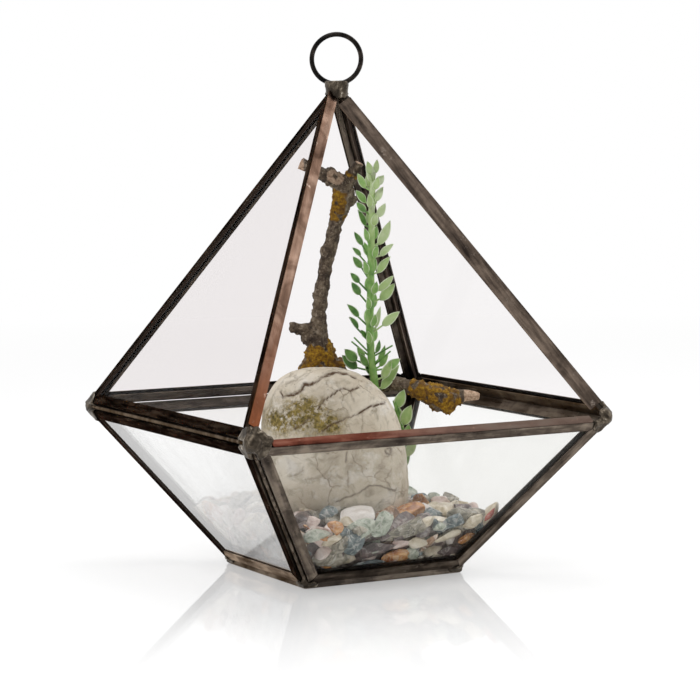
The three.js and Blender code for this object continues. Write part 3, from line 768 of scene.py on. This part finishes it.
# How deep chips lie behind the panes: at the front, behind those that are listed one by one
PANE_DEPTH = (1.2, 3.4)
FRONT_DEPTH = (5.4, 6.2)
SHOWN_DEPTH = 1.5
# What the glass and the other chips hide of a placed chip is added to its length and width
CHIP_LONGER = 1.3
CHIP_WIDER = 1.35
CHIP_THICKNESS = 0.5
# Chips that show through the front pane, flat against it: kind, x and height of the middle,
# half length, half width and heading in degrees
PANE_CHIPS = [
    ("amber", -32, 29, 4.6, 2.8, -45), ("cream", -31, 22, 4.4, 2.5, 35), ("mint", -40, 25.6, 5.6, 3.4, 0),
    ("slate", -18.5, 20, 6.2, 5.2, -40), ("grey", -26.5, 19, 5.2, 3.6, 60), ("mint", -8, 28.6, 6.8, 5.0, 70),
    ("grey", 7, 25, 9.6, 5.2, 25), ("cream", 40, 24.6, 4.8, 3.2, 30), ("slate", 30, 26, 5.8, 3.6, 25),
    ("mint", 23.5, 24, 3.8, 2.3, 10), ("cream", 28.5, 18.4, 5.9, 2.8, 22), ("amber", 40, 17, 3.8, 2.3, 40),
    ("cream", 14.5, 17, 4.6, 2.7, 0), ("brown", 19.7, 16, 5.2, 2.2, 60), ("mint", 13.5, 11, 3.8, 2.7, -60),
    ("amber", 6.4, 10, 6.4, 3.8, 0), ("mauve", -6.5, 15.5, 8.2, 4.2, 15), ("mauve", 31, 9, 8.6, 4.6, 10),
    ("rose", 4.6, 16.8, 5.4, 2.0, -8), ("grey", -28, 12.7, 8.4, 4.4, -15), ("slate", -8, 7.8, 7.2, 3.2, 8),
    ("grey", 18, 7, 4.4, 3.0, 45), ("rose", -44, 33, 4.6, 2.6, -50),
    ("red", 48.2, 27.4, 4.6, 1.6, 82),
]
# Chips that show on the heap: kind, place of the middle, half length, half width and heading
HEAP_CHIPS = [
    ("white", (-11.5, -37.5, 30), 10.6, 4.6, 8), ("slate", (-24, -32, 31.6), 5, 3.6, 10),
    ("rose", (-31.5, -21, 28.6), 5, 3, -50), ("brown", (-28, -24, 30.4), 4.2, 2.4, 0),
    ("brown", (24, -16, 29), 6, 4.6, 10), ("slate", (24, -41, 28.6), 5.4, 4.8, -50),
    ("slate", (46, 8, 28.6), 4.4, 2.8, 0), ("rose", (43, -17, 29), 6, 4, -50),
    ("grey", (52, -11, 28.6), 6.4, 4, -35), ("mauve", (42, -38, 28.4), 5.6, 4, -50),
    ("rose", (50, -34, 28.6), 4.8, 3, -20), ("cream", (34, -25, 29), 4.6, 2.6, 15),
]


def agate(name, colours, band_size, roughness, veins):
    finish, tree = new_finish(name)
    banding = speckle(tree, band_size, detail=3, rough=0.5, twist=1.6)
    wander = sum_up(tree, "ABSOLUTE", sum_up(tree, "SUBTRACT", speckle(tree, 9, detail=2, twist=1.5), 0.5))
    colour = overlay(tree, rescale(tree, wander, 0.0, 0.03, veins, 0.0),
                     tints(tree, banding, list(zip(CHIP_STOPS, colours))), VEIN_COLOUR)
    return surfaced(finish, tree, colour, roughness, speckle(tree, 1.2, detail=4), CHIP_GRAIN, COATED)


def room_half(z):
    return FOOT_HALF + (z - FOOT_Z) * ROOM_SLOPE - GLASS_CLEARANCE


def gravel_top(x, y):
    away = (max(abs(x), abs(y)) - GRAVEL_HEAP_HALF) / (room_half(GRAVEL_EDGE) - GRAVEL_HEAP_HALF)
    return GRAVEL_HEAP - (GRAVEL_HEAP - GRAVEL_EDGE) * max(0.0, min(1.0, away))


def pressed_inside(point):
    """Keeps a point of a chip within the glass and above the floor of the room."""
    z = max(point.z, GRAVEL_FLOOR)
    half = room_half(z)
    return Vector((max(-half, min(half, point.x)), max(-half, min(half, point.y)), z))


def chip_points(centre, facing, heading, size, draw):
    """One tumbled chip: a flat pebble, its broken faces worn smooth, its flat side facing out."""
    cuts = []
    for _ in range(CHIP_CUTS):
        direction = Vector((draw.gauss(0, 1), draw.gauss(0, 1), draw.gauss(0, 0.5))).normalized()
        cuts.append((direction, draw.uniform(0.5, 0.86)))
    turn = facing.to_track_quat("Z", "Y").to_matrix() @ Matrix.Rotation(heading, 3, "Z")
    offset = Vector((draw.random(), draw.random(), draw.random())) * 50
    points = []
    for unit in ball_points:
        shape = unit.copy()
        for direction, reach in cuts:
            over = shape.dot(direction) - reach
            if over > 0:
                shape -= direction * over * 0.95
        shape *= 1 + 0.07 * noise.noise(unit * 1.7 + offset)
        shape = Vector((shape.x * size.x, shape.y * size.y, shape.z * size.z))
        points.append(pressed_inside(centre + turn @ shape))
    return points


def evenly(i, count, half):
    return -half + (i + 0.5) * 2 * half / count


def chip_places(draw):
    """Where the chips lie: over the top of the bed, and against all four panes."""
    places = []
    top_half = room_half(GRAVEL_EDGE) - 2
    rows = int(2 * top_half / CHIP_PITCH)
    for i in range(rows):
        for j in range(rows):
            x = evenly(i, rows, top_half) + draw.uniform(-CHIP_STRAY, CHIP_STRAY)
            y = evenly(j, rows, top_half) + draw.uniform(-CHIP_STRAY, CHIP_STRAY)
            facing = Vector((draw.gauss(0, 0.4), draw.gauss(0, 0.4), 1))
            places.append((Vector((x, y, gravel_top(x, y) + draw.uniform(-1.0, 2.0))), facing))
    for side in range(4):
        spin = Matrix.Rotation(side * math.pi / 2, 3, "Z")
        z = GRAVEL_FLOOR + 2.5
        while z < GRAVEL_EDGE + 1:
            half = room_half(z)
            count = int(2 * half / PANE_PITCH)
            for i in range(count):
                along = evenly(i, count, half) + draw.uniform(-2, 2)
                facing = spin @ Vector((draw.gauss(0, 0.35), -1, draw.uniform(-0.7, 0.9)))
                depth = draw.uniform(*(PANE_DEPTH if side else FRONT_DEPTH))
                places.append((spin @ Vector((along, -half + depth, z + draw.uniform(-1, 1))), facing))
            z += PANE_ROW
    return places


def chip_list(draw):
    """Every chip's kind, middle, facing, heading and half sizes."""
    kinds = list(CHIP_KINDS)
    shares = [CHIP_KINDS[kind][0] for kind in kinds]
    chips = []
    for centre, facing in chip_places(draw):
        kind = draw.choices(kinds, shares)[0]
        long = draw.uniform(*CHIP_LONG)
        size = Vector((long, long * draw.uniform(*CHIP_FLAT), long * draw.uniform(*CHIP_THIN)))
        chips.append((kind, centre, facing, draw.uniform(0, 2 * math.pi), size))
    for kind, x, z, long, wide, heading in PANE_CHIPS:
        facing = Vector((draw.gauss(0, 0.06), -1, draw.gauss(-ROOM_SLOPE, 0.06)))
        size = Vector((long * CHIP_LONGER, wide * CHIP_WIDER, wide * CHIP_THICKNESS))
        chips.append((kind, Vector((x, SHOWN_DEPTH - room_half(z), z)), facing, math.radians(heading), size))
    for kind, place, long, wide, heading in HEAP_CHIPS:
        facing = Vector((draw.gauss(-0.25, 0.1), -0.7, 1))
        size = Vector((long, wide * CHIP_WIDER, wide * CHIP_THICKNESS))
        chips.append((kind, Vector(place), facing, math.radians(heading), size))
    return chips


def build_gravel_core():
    """The body of the bed under the chips, in the darkest chip finish as painted shade, for the dark between
    them where no light gets in.
    """
    rings = [(room_half(GRAVEL_FLOOR) - CORE_INSET, GRAVEL_FLOOR),
             (room_half(GRAVEL_EDGE) - CORE_INSET, GRAVEL_EDGE - CORE_DROP),
             (GRAVEL_HEAP_HALF, GRAVEL_HEAP - CORE_DROP)]
    corners = [Vector((x * half, y * half, z)) * MM for half, z in rings for x, y in SQUARE]
    core = new_piece("gravel_core", corners, [(3, 2, 1, 0), (8, 9, 10, 11)] + tube_faces(3, 4))
    remeshed(core, CORE_VOXEL)
    pushed_out(core, lambda place, _: noise.noise(place * 0.16) * 1.2)
    return core


chip_draw = random.Random(CHIP_SEED)
chip_heaps = {kind: ([], []) for kind in CHIP_KINDS}
for kind, *chip in chip_list(chip_draw):
    join_on(*chip_heaps[kind], [point * MM for point in chip_points(*chip, chip_draw)], ball_faces)
chip_finishes = {kind: agate(kind + "_chip", *looks) for kind, (_, *looks) in CHIP_KINDS.items()}
for kind, finish in chip_finishes.items():
    heap = new_piece("chips_" + kind, *chip_heaps[kind], smooth=True)
    heap.data.set_sharp_from_angle(angle=CHIP_CREASE)
    root_on(heap, finish, "gravel", "gravel")
# The core wears the dark mauve chip finish as painted shade between the chips
root_on(build_gravel_core(), chip_finishes["mauve"], "gravel", "gravel")


# Branch: a crooked forked twig from an old fruit tree, grey-brown, its bark furrowed and
# knobbly, with short stubs sawn off pale. It stands in the gravel behind the stone.
BRANCH_VOXEL = 0.62
SAWN_REACH = 4.2
SAWN_FACING = 0.62
KNOT_HOLE_RADIUS = 1.2
PEELED_RIGHT = 57.5
PEELED_LEFT = -15.8
ALONG_GRAIN = 0.16
ALONG_GRAIN_UP = 0.15
ACROSS_GRAIN = 0.62
BARK_ROUGHNESS = 0.88
BARK_GRAIN = 0.35
# Limbs: x, y, z and radius along each one
LIMBS = [
    [(-6, 27, 8, 5), (-8, 25.5, 45, 5), (-9, 22, 70, 5.2), (-9.2, 16, 88, 7.5), (-9.2, 14.5, 94, 8.6),
     (-9.6, 12.6, 100, 6.6), (-10.2, 10.8, 106, 5), (-10.4, 9.6, 111, 4.2), (-9.2, 7.6, 122, 3.4),
     (-7.4, 6.5, 134, 3.3), (-5.4, 5.5, 144, 3.4), (-2.8, 4.8, 154, 3.3), (-0.6, 4, 163, 3.5),
     (2.2, 3.2, 171, 4.5), (3, 3, 175, 4.9), (1.2, 2.6, 180, 4.4)],
    [(2.4, 3, 174, 4), (1, 2.6, 179.4, 4.4), (-3.6, 1.8, 181.8, 3.9), (-8.4, 1.6, 184, 3.1),
     (-13.6, 2.2, 186.6, 2.8), (-17.6, 2.4, 188.4, 2.7)],
    [(2.6, 2.8, 176, 3.6), (5.8, 2.2, 181.4, 3.2), (8.4, 1.4, 185.6, 2.7), (10, 1, 188.6, 2.3)],
    [(-1.4, 2.4, 181, 2.4), (-1.2, 0.2, 181.8, 2.1), (-1, -2, 182.4, 1.9)],
    [(-10.2, 10, 109.5, 3.2), (-14.6, 9, 111.2, 3), (-19.4, 8, 111.4, 2.6), (-23.4, 7.4, 112.8, 2)],
    [(-8, 24, 58, 3.2), (2, 21.5, 72, 3.2), (14, 18, 81.5, 3.4), (25, 13.5, 84.6, 3.5), (34, 11, 83, 3.5),
     (41, 9.8, 80.4, 4.6), (47, 9, 78.4, 5.2), (52, 8.6, 78, 4), (56.5, 8.4, 79, 3.1), (61, 8.2, 79.1, 2.5),
     (65, 8, 78.6, 1.7)],
]
# Knobs and lichen: centre and radius
KNOBS = [((49.5, 8.6, 74.6), 3.8), ((45.6, 9, 75.8), 4), ((5.4, 3, 171.5), 3.4), ((-3.4, 2.6, 184), 2.9),
         ((-5.5, 6, 147.5), 3), ((-9.6, 7.2, 127), 3.2), ((-15, 9.6, 107), 3.6), ((-1.6, 12.5, 92.5), 4.4),
         ((-15.4, 13.4, 91.8), 4.2)]
LICHEN = [((-8.6, 11, 98), 9.5), ((-3.6, 12, 92), 7), ((-14, 12, 91), 6.5), ((0.4, 2.6, 171.5), 6.2),
          ((-0.6, 3.4, 166), 5.4), ((43, 9, 79.5), 8), ((50, 8.4, 76.5), 7.5), ((36, 10.6, 82), 5.5),
          ((6.6, 2, 182.5), 3.2)]
# Sawn ends: centre, the way it faces, and how bare it is; the last one has a knot hole in it
SAWN_ENDS = [((-17.6, 2.4, 188.4), (-0.93, 0.05, 0.35), 1), ((10, 1, 188.6), (0.5, -0.2, 0.85), 1),
             ((65, 8, 78.6), (1, 0, 0), 1), ((-1, -2, 182.4), (0.1, -0.95, 0.3), 0.6)]
KNOT_HOLE = Vector(SAWN_ENDS[-1][0])
BARK_COLOURS = [(0.34, (0.02, 0.012, 0.007)), (0.48, (0.075, 0.05, 0.031)),
                (0.6, (0.16, 0.12, 0.08)), (0.74, (0.34, 0.28, 0.21))]
LICHEN_COLOURS = [(0.32, (0.045, 0.02, 0.002)), (0.46, (0.2, 0.095, 0.004)),
                  (0.6, (0.37, 0.2, 0.006)), (0.75, (0.52, 0.36, 0.03))]
WOOD_COLOURS = [(0.35, (0.3, 0.18, 0.11)), (0.65, (0.66, 0.48, 0.34))]


def limb(route, sides=14, steps=6):
    """A tapering limb with closed ends: route rows are x, y, z and radius."""
    curve = catmull(route, steps)
    up = Vector((0.2, 1, 0.1)).normalized()
    vertices = []
    for k, (*middle, radius) in enumerate(curve):
        ahead = Vector(curve[min(k + 1, len(curve) - 1)][:3]) - Vector(curve[max(k - 1, 0)][:3])
        ahead.normalize()
        side = ahead.cross(up).normalized()
        vertices += circle(Vector(middle), side, side.cross(ahead), radius, sides)
    last = len(vertices) - sides
    ends = [tuple(reversed(range(sides))), tuple(range(last, last + sides))]
    return vertices, tube_faces(len(curve), sides) + ends


def bare_wood(place, normal):
    """How far the bark is off, from 0 to 1: at the sawn ends, and where two limbs are peeled."""
    bare = 0.9 if place.x > PEELED_RIGHT or (place.x < PEELED_LEFT and place.z > 150) else 0.0
    for point, outward, much in SAWN_ENDS:
        at_end = (place - Vector(point)).length < SAWN_REACH
        if at_end and normal.dot(Vector(outward).normalized()) > SAWN_FACING:
            bare = max(bare, much)
    return bare


def lichen_cover(place):
    cover = max(math.exp(-((place - Vector(centre)).length / size) ** 4) for centre, size in LICHEN)
    patchy = cover * (0.75 + 0.9 * noise.noise(place * 0.35)) - 0.28
    return max(0.0, min(1.0, patchy * 3))


def bark_height(place):
    """Furrows drawn out along the limb, with knobs and grain over them."""
    lying = 22 < place.x or (place.z < 84 and place.x > -2) or (place.x < -12 and place.z > 104)
    if lying:
        stretched = Vector((place.x * ALONG_GRAIN, place.y * ACROSS_GRAIN, place.z * ACROSS_GRAIN))
    else:
        stretched = Vector((place.x * ACROSS_GRAIN, place.y * ACROSS_GRAIN, place.z * ALONG_GRAIN_UP))
    furrow = abs(noise.noise(stretched)) * 2 - 0.5
    return 0.62 * furrow + 0.55 * noise.fractal(place * 0.33, 0.9, 2.0, 3) + 0.18 * noise.noise(place * 1.6)


def build_branch():
    vertices, faces = [], []
    for route in LIMBS:
        join_on(vertices, faces, *limb(route))
    for centre, radius in KNOBS:
        join_ball(vertices, faces, Vector(centre), radius)
    piece = new_piece("lichened_branch", [v * MM for v in vertices], faces)
    remeshed(piece, BRANCH_VOXEL)
    lichened, sawn = [], []

    def surface_height(place, normal):
        if (place - KNOT_HOLE).length < KNOT_HOLE_RADIUS:
            lichened.append(0.0)
            sawn.append(0.0)
            return -1.0
        bare = bare_wood(place, normal)
        crust = lichen_cover(place) * (1 - bare)
        curls = abs(noise.noise(place * 0.75)) * 1.5 + abs(noise.noise(place * 1.7)) * 0.8
        lichened.append(crust)
        sawn.append(bare)
        return (bark_height(place) * (1 - crust) + (0.2 + curls) * crust) * (1 - bare) - 0.1

    pushed_out(piece, surface_height)
    mark(piece.data, lichen=lichened, sawn=sawn)
    piece.data.transform(Matrix.Rotation(VIEW_TURN, 4, "Z"))
    piece.data.shade_smooth()
    return piece


def lichened_bark():
    finish, tree = new_finish("lichened_bark")
    broad = speckle(tree, 7, detail=6, rough=0.65)
    grain = speckle(tree, 1.4, detail=5, rough=0.7)
    bark = tints(tree, broad, BARK_COLOURS)
    bark = overlay(tree, rescale(tree, grain, 0.54, 0.66, 0, 0.75), bark, rgb(0.33, 0.27, 0.2))
    bark = overlay(tree, rescale(tree, grain, 0.46, 0.36, 0, 0.85), bark, rgb(0.014, 0.009, 0.006))
    crust = overlay(tree, rescale(tree, broad, 0.5, 0.6, 0, 0.75), tints(tree, grain, LICHEN_COLOURS),
                    rgb(0.085, 0.036, 0.006))
    colour = overlay(tree, rescale(tree, marked(tree, "lichen"), 0.15, 0.55), bark, crust)
    wood = tints(tree, speckle(tree, 1.1, detail=3), WOOD_COLOURS)
    colour = overlay(tree, marked(tree, "sawn"), colour, wood)
    return surfaced(finish, tree, colour, BARK_ROUGHNESS, grain, BARK_GRAIN)


root_on(build_branch(), lichened_bark(), "branch", "branch")


# Sprig: a moulded succulent spray. Pointed oval leaves with pale rims stand in pairs on thin
# stalks up one fleshy stem, dense and pale at the tip, with a tuft low down by the stone. How
# pale each leaf and the stem are drawn is partly their own colour and partly painted light:
# painted shade darkens most leaves on the left and low down, and the top is painted paler.
SMALL_LEAVES_FROM = 101.0
SMALL_LEAVES_TO = 183
PALE_FROM = 150
LEAF_SEED = 77
LEAF_ROWS = 9
LEAF_HALF_COLUMNS = 3
LEAF_HALF_THICK = 0.32
RIB_HEIGHT = 0.14
LEAF_GRAIN = 0.06
# Stem and side shoot: x, y, z and radius
STEM = [(13, 21, 7, 1.5), (14.5, 19, 45, 1.6), (16.5, 13, 76, 1.8), (14.6, 8, 96, 1.85), (14, 5, 113, 1.8),
        (14.7, 2, 135, 1.7), (15.2, -1.5, 157, 1.6), (15.6, -3, 172, 1.4), (16.4, -4, 184, 1)]
SHOOT = [(13.4, 20.6, 20, 1), (21, 18, 40, 1.1), (28.5, 13, 52, 1.1), (28.5, 10, 64, 1),
         (25, 8.5, 77, 0.8)]
# Leaves: height of the root on the stem, then x and z of the blade's base and tip, its width
# and how pale it is drawn, partly its own colour and partly painted light and shade
LEFT_LEAVES = [
    (176, 12.6, 176.6, 9, 183.6, 3.6, 0.45), (169, 12.6, 170, 8, 175.8, 3.8, 0.35),
    (164, 12.6, 165.8, 8.3, 170.4, 3.6, 0.2), (158, 12.2, 159.2, 8.6, 166.6, 3.8, 0.15),
    (143, 11, 150.4, 7, 157, 3.1, 0.1), (138, 10, 145.2, 6, 149, 3.3, 0.1),
    (134, 10.6, 139.8, 6.4, 145.4, 3.6, 0.1), (127, 9.4, 132.8, 5.2, 137.6, 3.3, 0.05),
    (121, 9.6, 127.2, 5.6, 133.4, 3.9, 0.08), (111, 8.8, 116.6, 3.2, 122.6, 3.9, 0.05),
    (105, 8.2, 111.2, 3.8, 116.6, 3.9, 0.05), (104, 11.8, 106.8, 9.4, 110.4, 3.2, 0.12),
    (93, 7.6, 96, 2, 102, 5.4, 0.1), (91, 7.8, 92.2, 0.8, 98.8, 5.2, 0.05),
    (94, 10.8, 97, 7.6, 102.6, 3.6, 0.3), (92, 12.6, 93.6, 9.4, 99.8, 3.8, 0.12),
    (88, 13.2, 89.4, 11.4, 96.6, 3.6, 0.1),
]
RIGHT_LEAVES = [
    (178, 15.6, 179.2, 14.6, 188.2, 4.4, 0.95), (177, 17.2, 178.4, 21, 182.8, 4.2, 0.9),
    (170, 17.6, 170.6, 21.2, 177.2, 3.9, 0.85), (163, 18.2, 163.2, 21.8, 169.8, 3.8, 0.85),
    (150, 18, 150.4, 23.6, 161.8, 5.6, 0.75), (144, 19, 145, 25.6, 150.4, 3.9, 0.75),
    (136, 17.8, 137.2, 24.2, 144.8, 4.2, 0.65), (128, 17.8, 129, 25.2, 136.4, 4.1, 0.65),
    (123, 18.6, 124.6, 25.4, 132.6, 5.2, 0.55), (109, 19.6, 112.4, 28, 119.2, 4.6, 0.7),
    (110, 16.9, 111.4, 19.4, 121.6, 2.8, 0.8), (99, 16.8, 99.8, 18.2, 106.2, 3, 0.05),
    (91, 21.4, 92, 28.2, 97, 4.8, 0.4), (84, 19, 82, 27.8, 93.6, 5, 0.6),
    (92, 18.4, 93, 22.6, 98.6, 3.2, 0.35), (87, 19.8, 87.4, 24.4, 96.2, 4.6, 0.6),
    (95, 17.8, 96, 20.6, 103.4, 3.6, 0.25),
]
SHOOT_LEAVES = [
    (72, 26, 73.6, 29.6, 82.4, 5.6, 0.5), (64, 29.2, 65.4, 33.4, 75, 6.2, 0.55),
    (66, 27.6, 68, 25.6, 75.4, 4, 0.35), (56, 30, 57.6, 31.6, 66, 4.6, 0.45),
    (50, 30.4, 50.2, 35.6, 58.4, 5, 0.6), (44, 27.6, 44.6, 32.2, 51.2, 4.4, 0.3),
    (40, 24, 40, 29.6, 46, 4.2, 0.25),
]
# Stalks that have lost their leaf: height of the root and place of the end
BARE_STALKS = [(99, (6.6, 11, 106.8)), (97, (5.4, 12, 104.8)), (98, (24.4, 4, 103.4)), (93, (23.4, 3, 100.8))]
LEAF_COLOURS = [(0.0, (0.055, 0.16, 0.028)), (0.3, (0.2, 0.39, 0.09)), (0.6, (0.38, 0.52, 0.2)),
                (1.0, (0.56, 0.62, 0.42))]
RIM_COLOUR = rgb(0.72, 0.8, 0.58)
FLESHY = {"Subsurface Weight": 0.12, "Subsurface Radius": (0.0012, 0.0018, 0.0008)}


def at_height(route, z):
    curve = catmull(route, 12)
    return Vector(min(curve, key=lambda row: abs(row[2] - z))[:3])


def leaf_shape(root, base, tip, width, cup, twist):
    """A stalk from root to base and a pointed oval blade from base to tip, with its rim marked."""
    vertices, faces, rim = [], [], []
    axis = tip - base
    length = axis.length
    axis.normalize()
    toward = Vector((0.25, -1, 0.35))
    flat = Matrix.Rotation(twist, 3, axis) @ (toward - axis * toward.dot(axis)).normalized()
    side = axis.cross(flat)
    for face_side in (1, -1):
        for i in range(LEAF_ROWS + 1):
            t = i / LEAF_ROWS
            oval = math.sin(math.pi * t ** 0.85) ** 0.78 if 0 < t < 1 else 0.0
            spread = width / 2 * oval * (1.06 - 0.22 * t)
            bend = 0.06 * length * math.sin(math.pi * t) + cup * length * 0.22 * t * t
            plump = LEAF_HALF_THICK * (0.35 + 0.65 * math.sin(math.pi * min(1, t + 0.08)))
            for j in range(-LEAF_HALF_COLUMNS, LEAF_HALF_COLUMNS + 1):
                s = j / LEAF_HALF_COLUMNS
                dish = cup * width * 0.55 * s * s
                thick = plump * (1 - 0.75 * abs(s) ** 3) + RIB_HEIGHT * math.exp(-(s / 0.2) ** 2) * (1 - t)
                vertices.append(base + axis * (length * t) + side * (spread * s)
                                + flat * (bend + dish + face_side * thick))
                rim.append(max(abs(s) ** 4, t ** 8))
    rows, columns = LEAF_ROWS, 2 * LEAF_HALF_COLUMNS + 1
    back = (rows + 1) * columns
    for i in range(rows):
        for j in range(columns - 1):
            a, b = i * columns + j, i * columns + j + 1
            c, d = b + columns, a + columns
            faces.append((a, b, c, d))
            faces.append((back + d, back + c, back + b, back + a))
    outline = ([i * columns for i in range(rows)] + [rows * columns + j for j in range(columns - 1)]
               + [i * columns + columns - 1 for i in range(rows, 0, -1)] + list(range(columns - 1, 0, -1)))
    for a, b in zip(outline, outline[1:] + outline[:1]):
        faces.append((a, b, back + b, back + a))
    bent = root * 0.5 + base * 0.5 + flat * 0.2
    stalk = [(*root, 0.55), (*bent, 0.45), (*(base + axis * length * 0.12), 0.4)]
    join_on(vertices, faces, *limb(stalk, sides=7, steps=3))
    rim.extend([0.0] * (len(vertices) - len(rim)))
    return vertices, faces, rim


def build_sprig():
    vertices, faces, shade, rim = [], [], [], []
    draw = random.Random(LEAF_SEED)

    def take(more, rings, tones, edges=None):
        join_on(vertices, faces, more, rings)
        shade.extend(tones)
        rim.extend(edges or [0.0] * len(more))

    def take_leaf(root, base, tip, width, cup, twist, pale):
        more, rings, edges = leaf_shape(root, base, tip, width, cup, twist)
        take(more, rings, [pale] * len(more), edges)

    for route, sides in ((STEM, 12), (SHOOT, 9)):
        tube, rings = limb(route, sides=sides, steps=10)
        ridged = [v + noise.noise_vector(v * 0.5) * 0.3 for v in tube]
        mottled = [0.35 * noise.noise(v * 0.35) for v in tube]
        # Paler up the stem, partly its own colour and partly painted light on the top
        paler_up = [max(0.3, min(1.0, 0.4 + (v.z - PALE_FROM) / 60)) for v in tube]
        take(ridged, rings, [a + b for a, b in zip(paler_up, mottled)])
    for route, rows in ((STEM, LEFT_LEAVES), (STEM, RIGHT_LEAVES), (SHOOT, SHOOT_LEAVES)):
        for height, base_x, base_z, tip_x, tip_z, width, pale in rows:
            root = at_height(route, height)
            lean = draw.uniform(-2.2, 1.4)
            base = Vector((base_x, root.y + lean * 0.5, base_z))
            tip = Vector((tip_x, root.y + lean, tip_z))
            take_leaf(root, base, tip, width, draw.uniform(0.1, 0.4), draw.uniform(-0.5, 0.5), pale)
    height = SMALL_LEAVES_FROM
    turn = 0
    while height < SMALL_LEAVES_TO:
        root = at_height(STEM, height)
        for facing_way in (-1, 1):
            heading = math.pi / 2 * facing_way + (0.35 if turn % 2 else -0.35) + draw.uniform(-0.15, 0.15)
            out = Vector((math.cos(heading), math.sin(heading), 0))
            reach = draw.uniform(3.4, 4.4) if height > PALE_FROM else draw.uniform(4.2, 5.4)
            base = root + out * reach * 0.75 + Vector((0, 0, 4.2))
            tip = root + out * (reach + 2.6) + Vector((0, 0, 10.6))
            # Small leaves below PALE_FROM are drawn darker and those above paler, partly painted shade and
            # light
            take_leaf(root, base, tip, draw.uniform(3.0, 3.9), 0.25, draw.uniform(-0.3, 0.3),
                      0.35 if height < PALE_FROM else 0.7)
        height += draw.uniform(7.0, 8.4)
        turn += 1
    for height, end in BARE_STALKS:
        root = at_height(STEM, height)
        halfway = (root + Vector(end)) * 0.5
        tube, rings = limb([(*root, 0.45), (*halfway, 0.4), (*end, 0.4)], sides=7, steps=3)
        take(tube, rings, [0.1] * len(tube))
    piece = new_piece("succulent_sprig", vertices, faces, smooth=True)
    mark(piece.data, pale=shade, rim=rim)
    piece.data.transform(facing_viewer)
    return piece


def succulent_green():
    finish, tree = new_finish("succulent_green")
    mottle = speckle(tree, 3, detail=4)
    # Paleness carries the leaves' own colour together with painted shade and light
    paleness_and_shade = sum_up(tree, "ADD", marked(tree, "pale"), rescale(tree, mottle, 0.3, 0.7, -0.12, 0.12))
    edge = rescale(tree, marked(tree, "rim"), 0.3, 0.85, 0, 0.9)
    colour = overlay(tree, edge, tints(tree, paleness_and_shade, LEAF_COLOURS), RIM_COLOUR)
    rough = rescale(tree, mottle, 0.3, 0.7, 0.42, 0.6)
    return surfaced(finish, tree, colour, rough, speckle(tree, 0.8, detail=3), LEAF_GRAIN, FLESHY)


root_on(build_sprig(), succulent_green(), "sprig", "sprig")
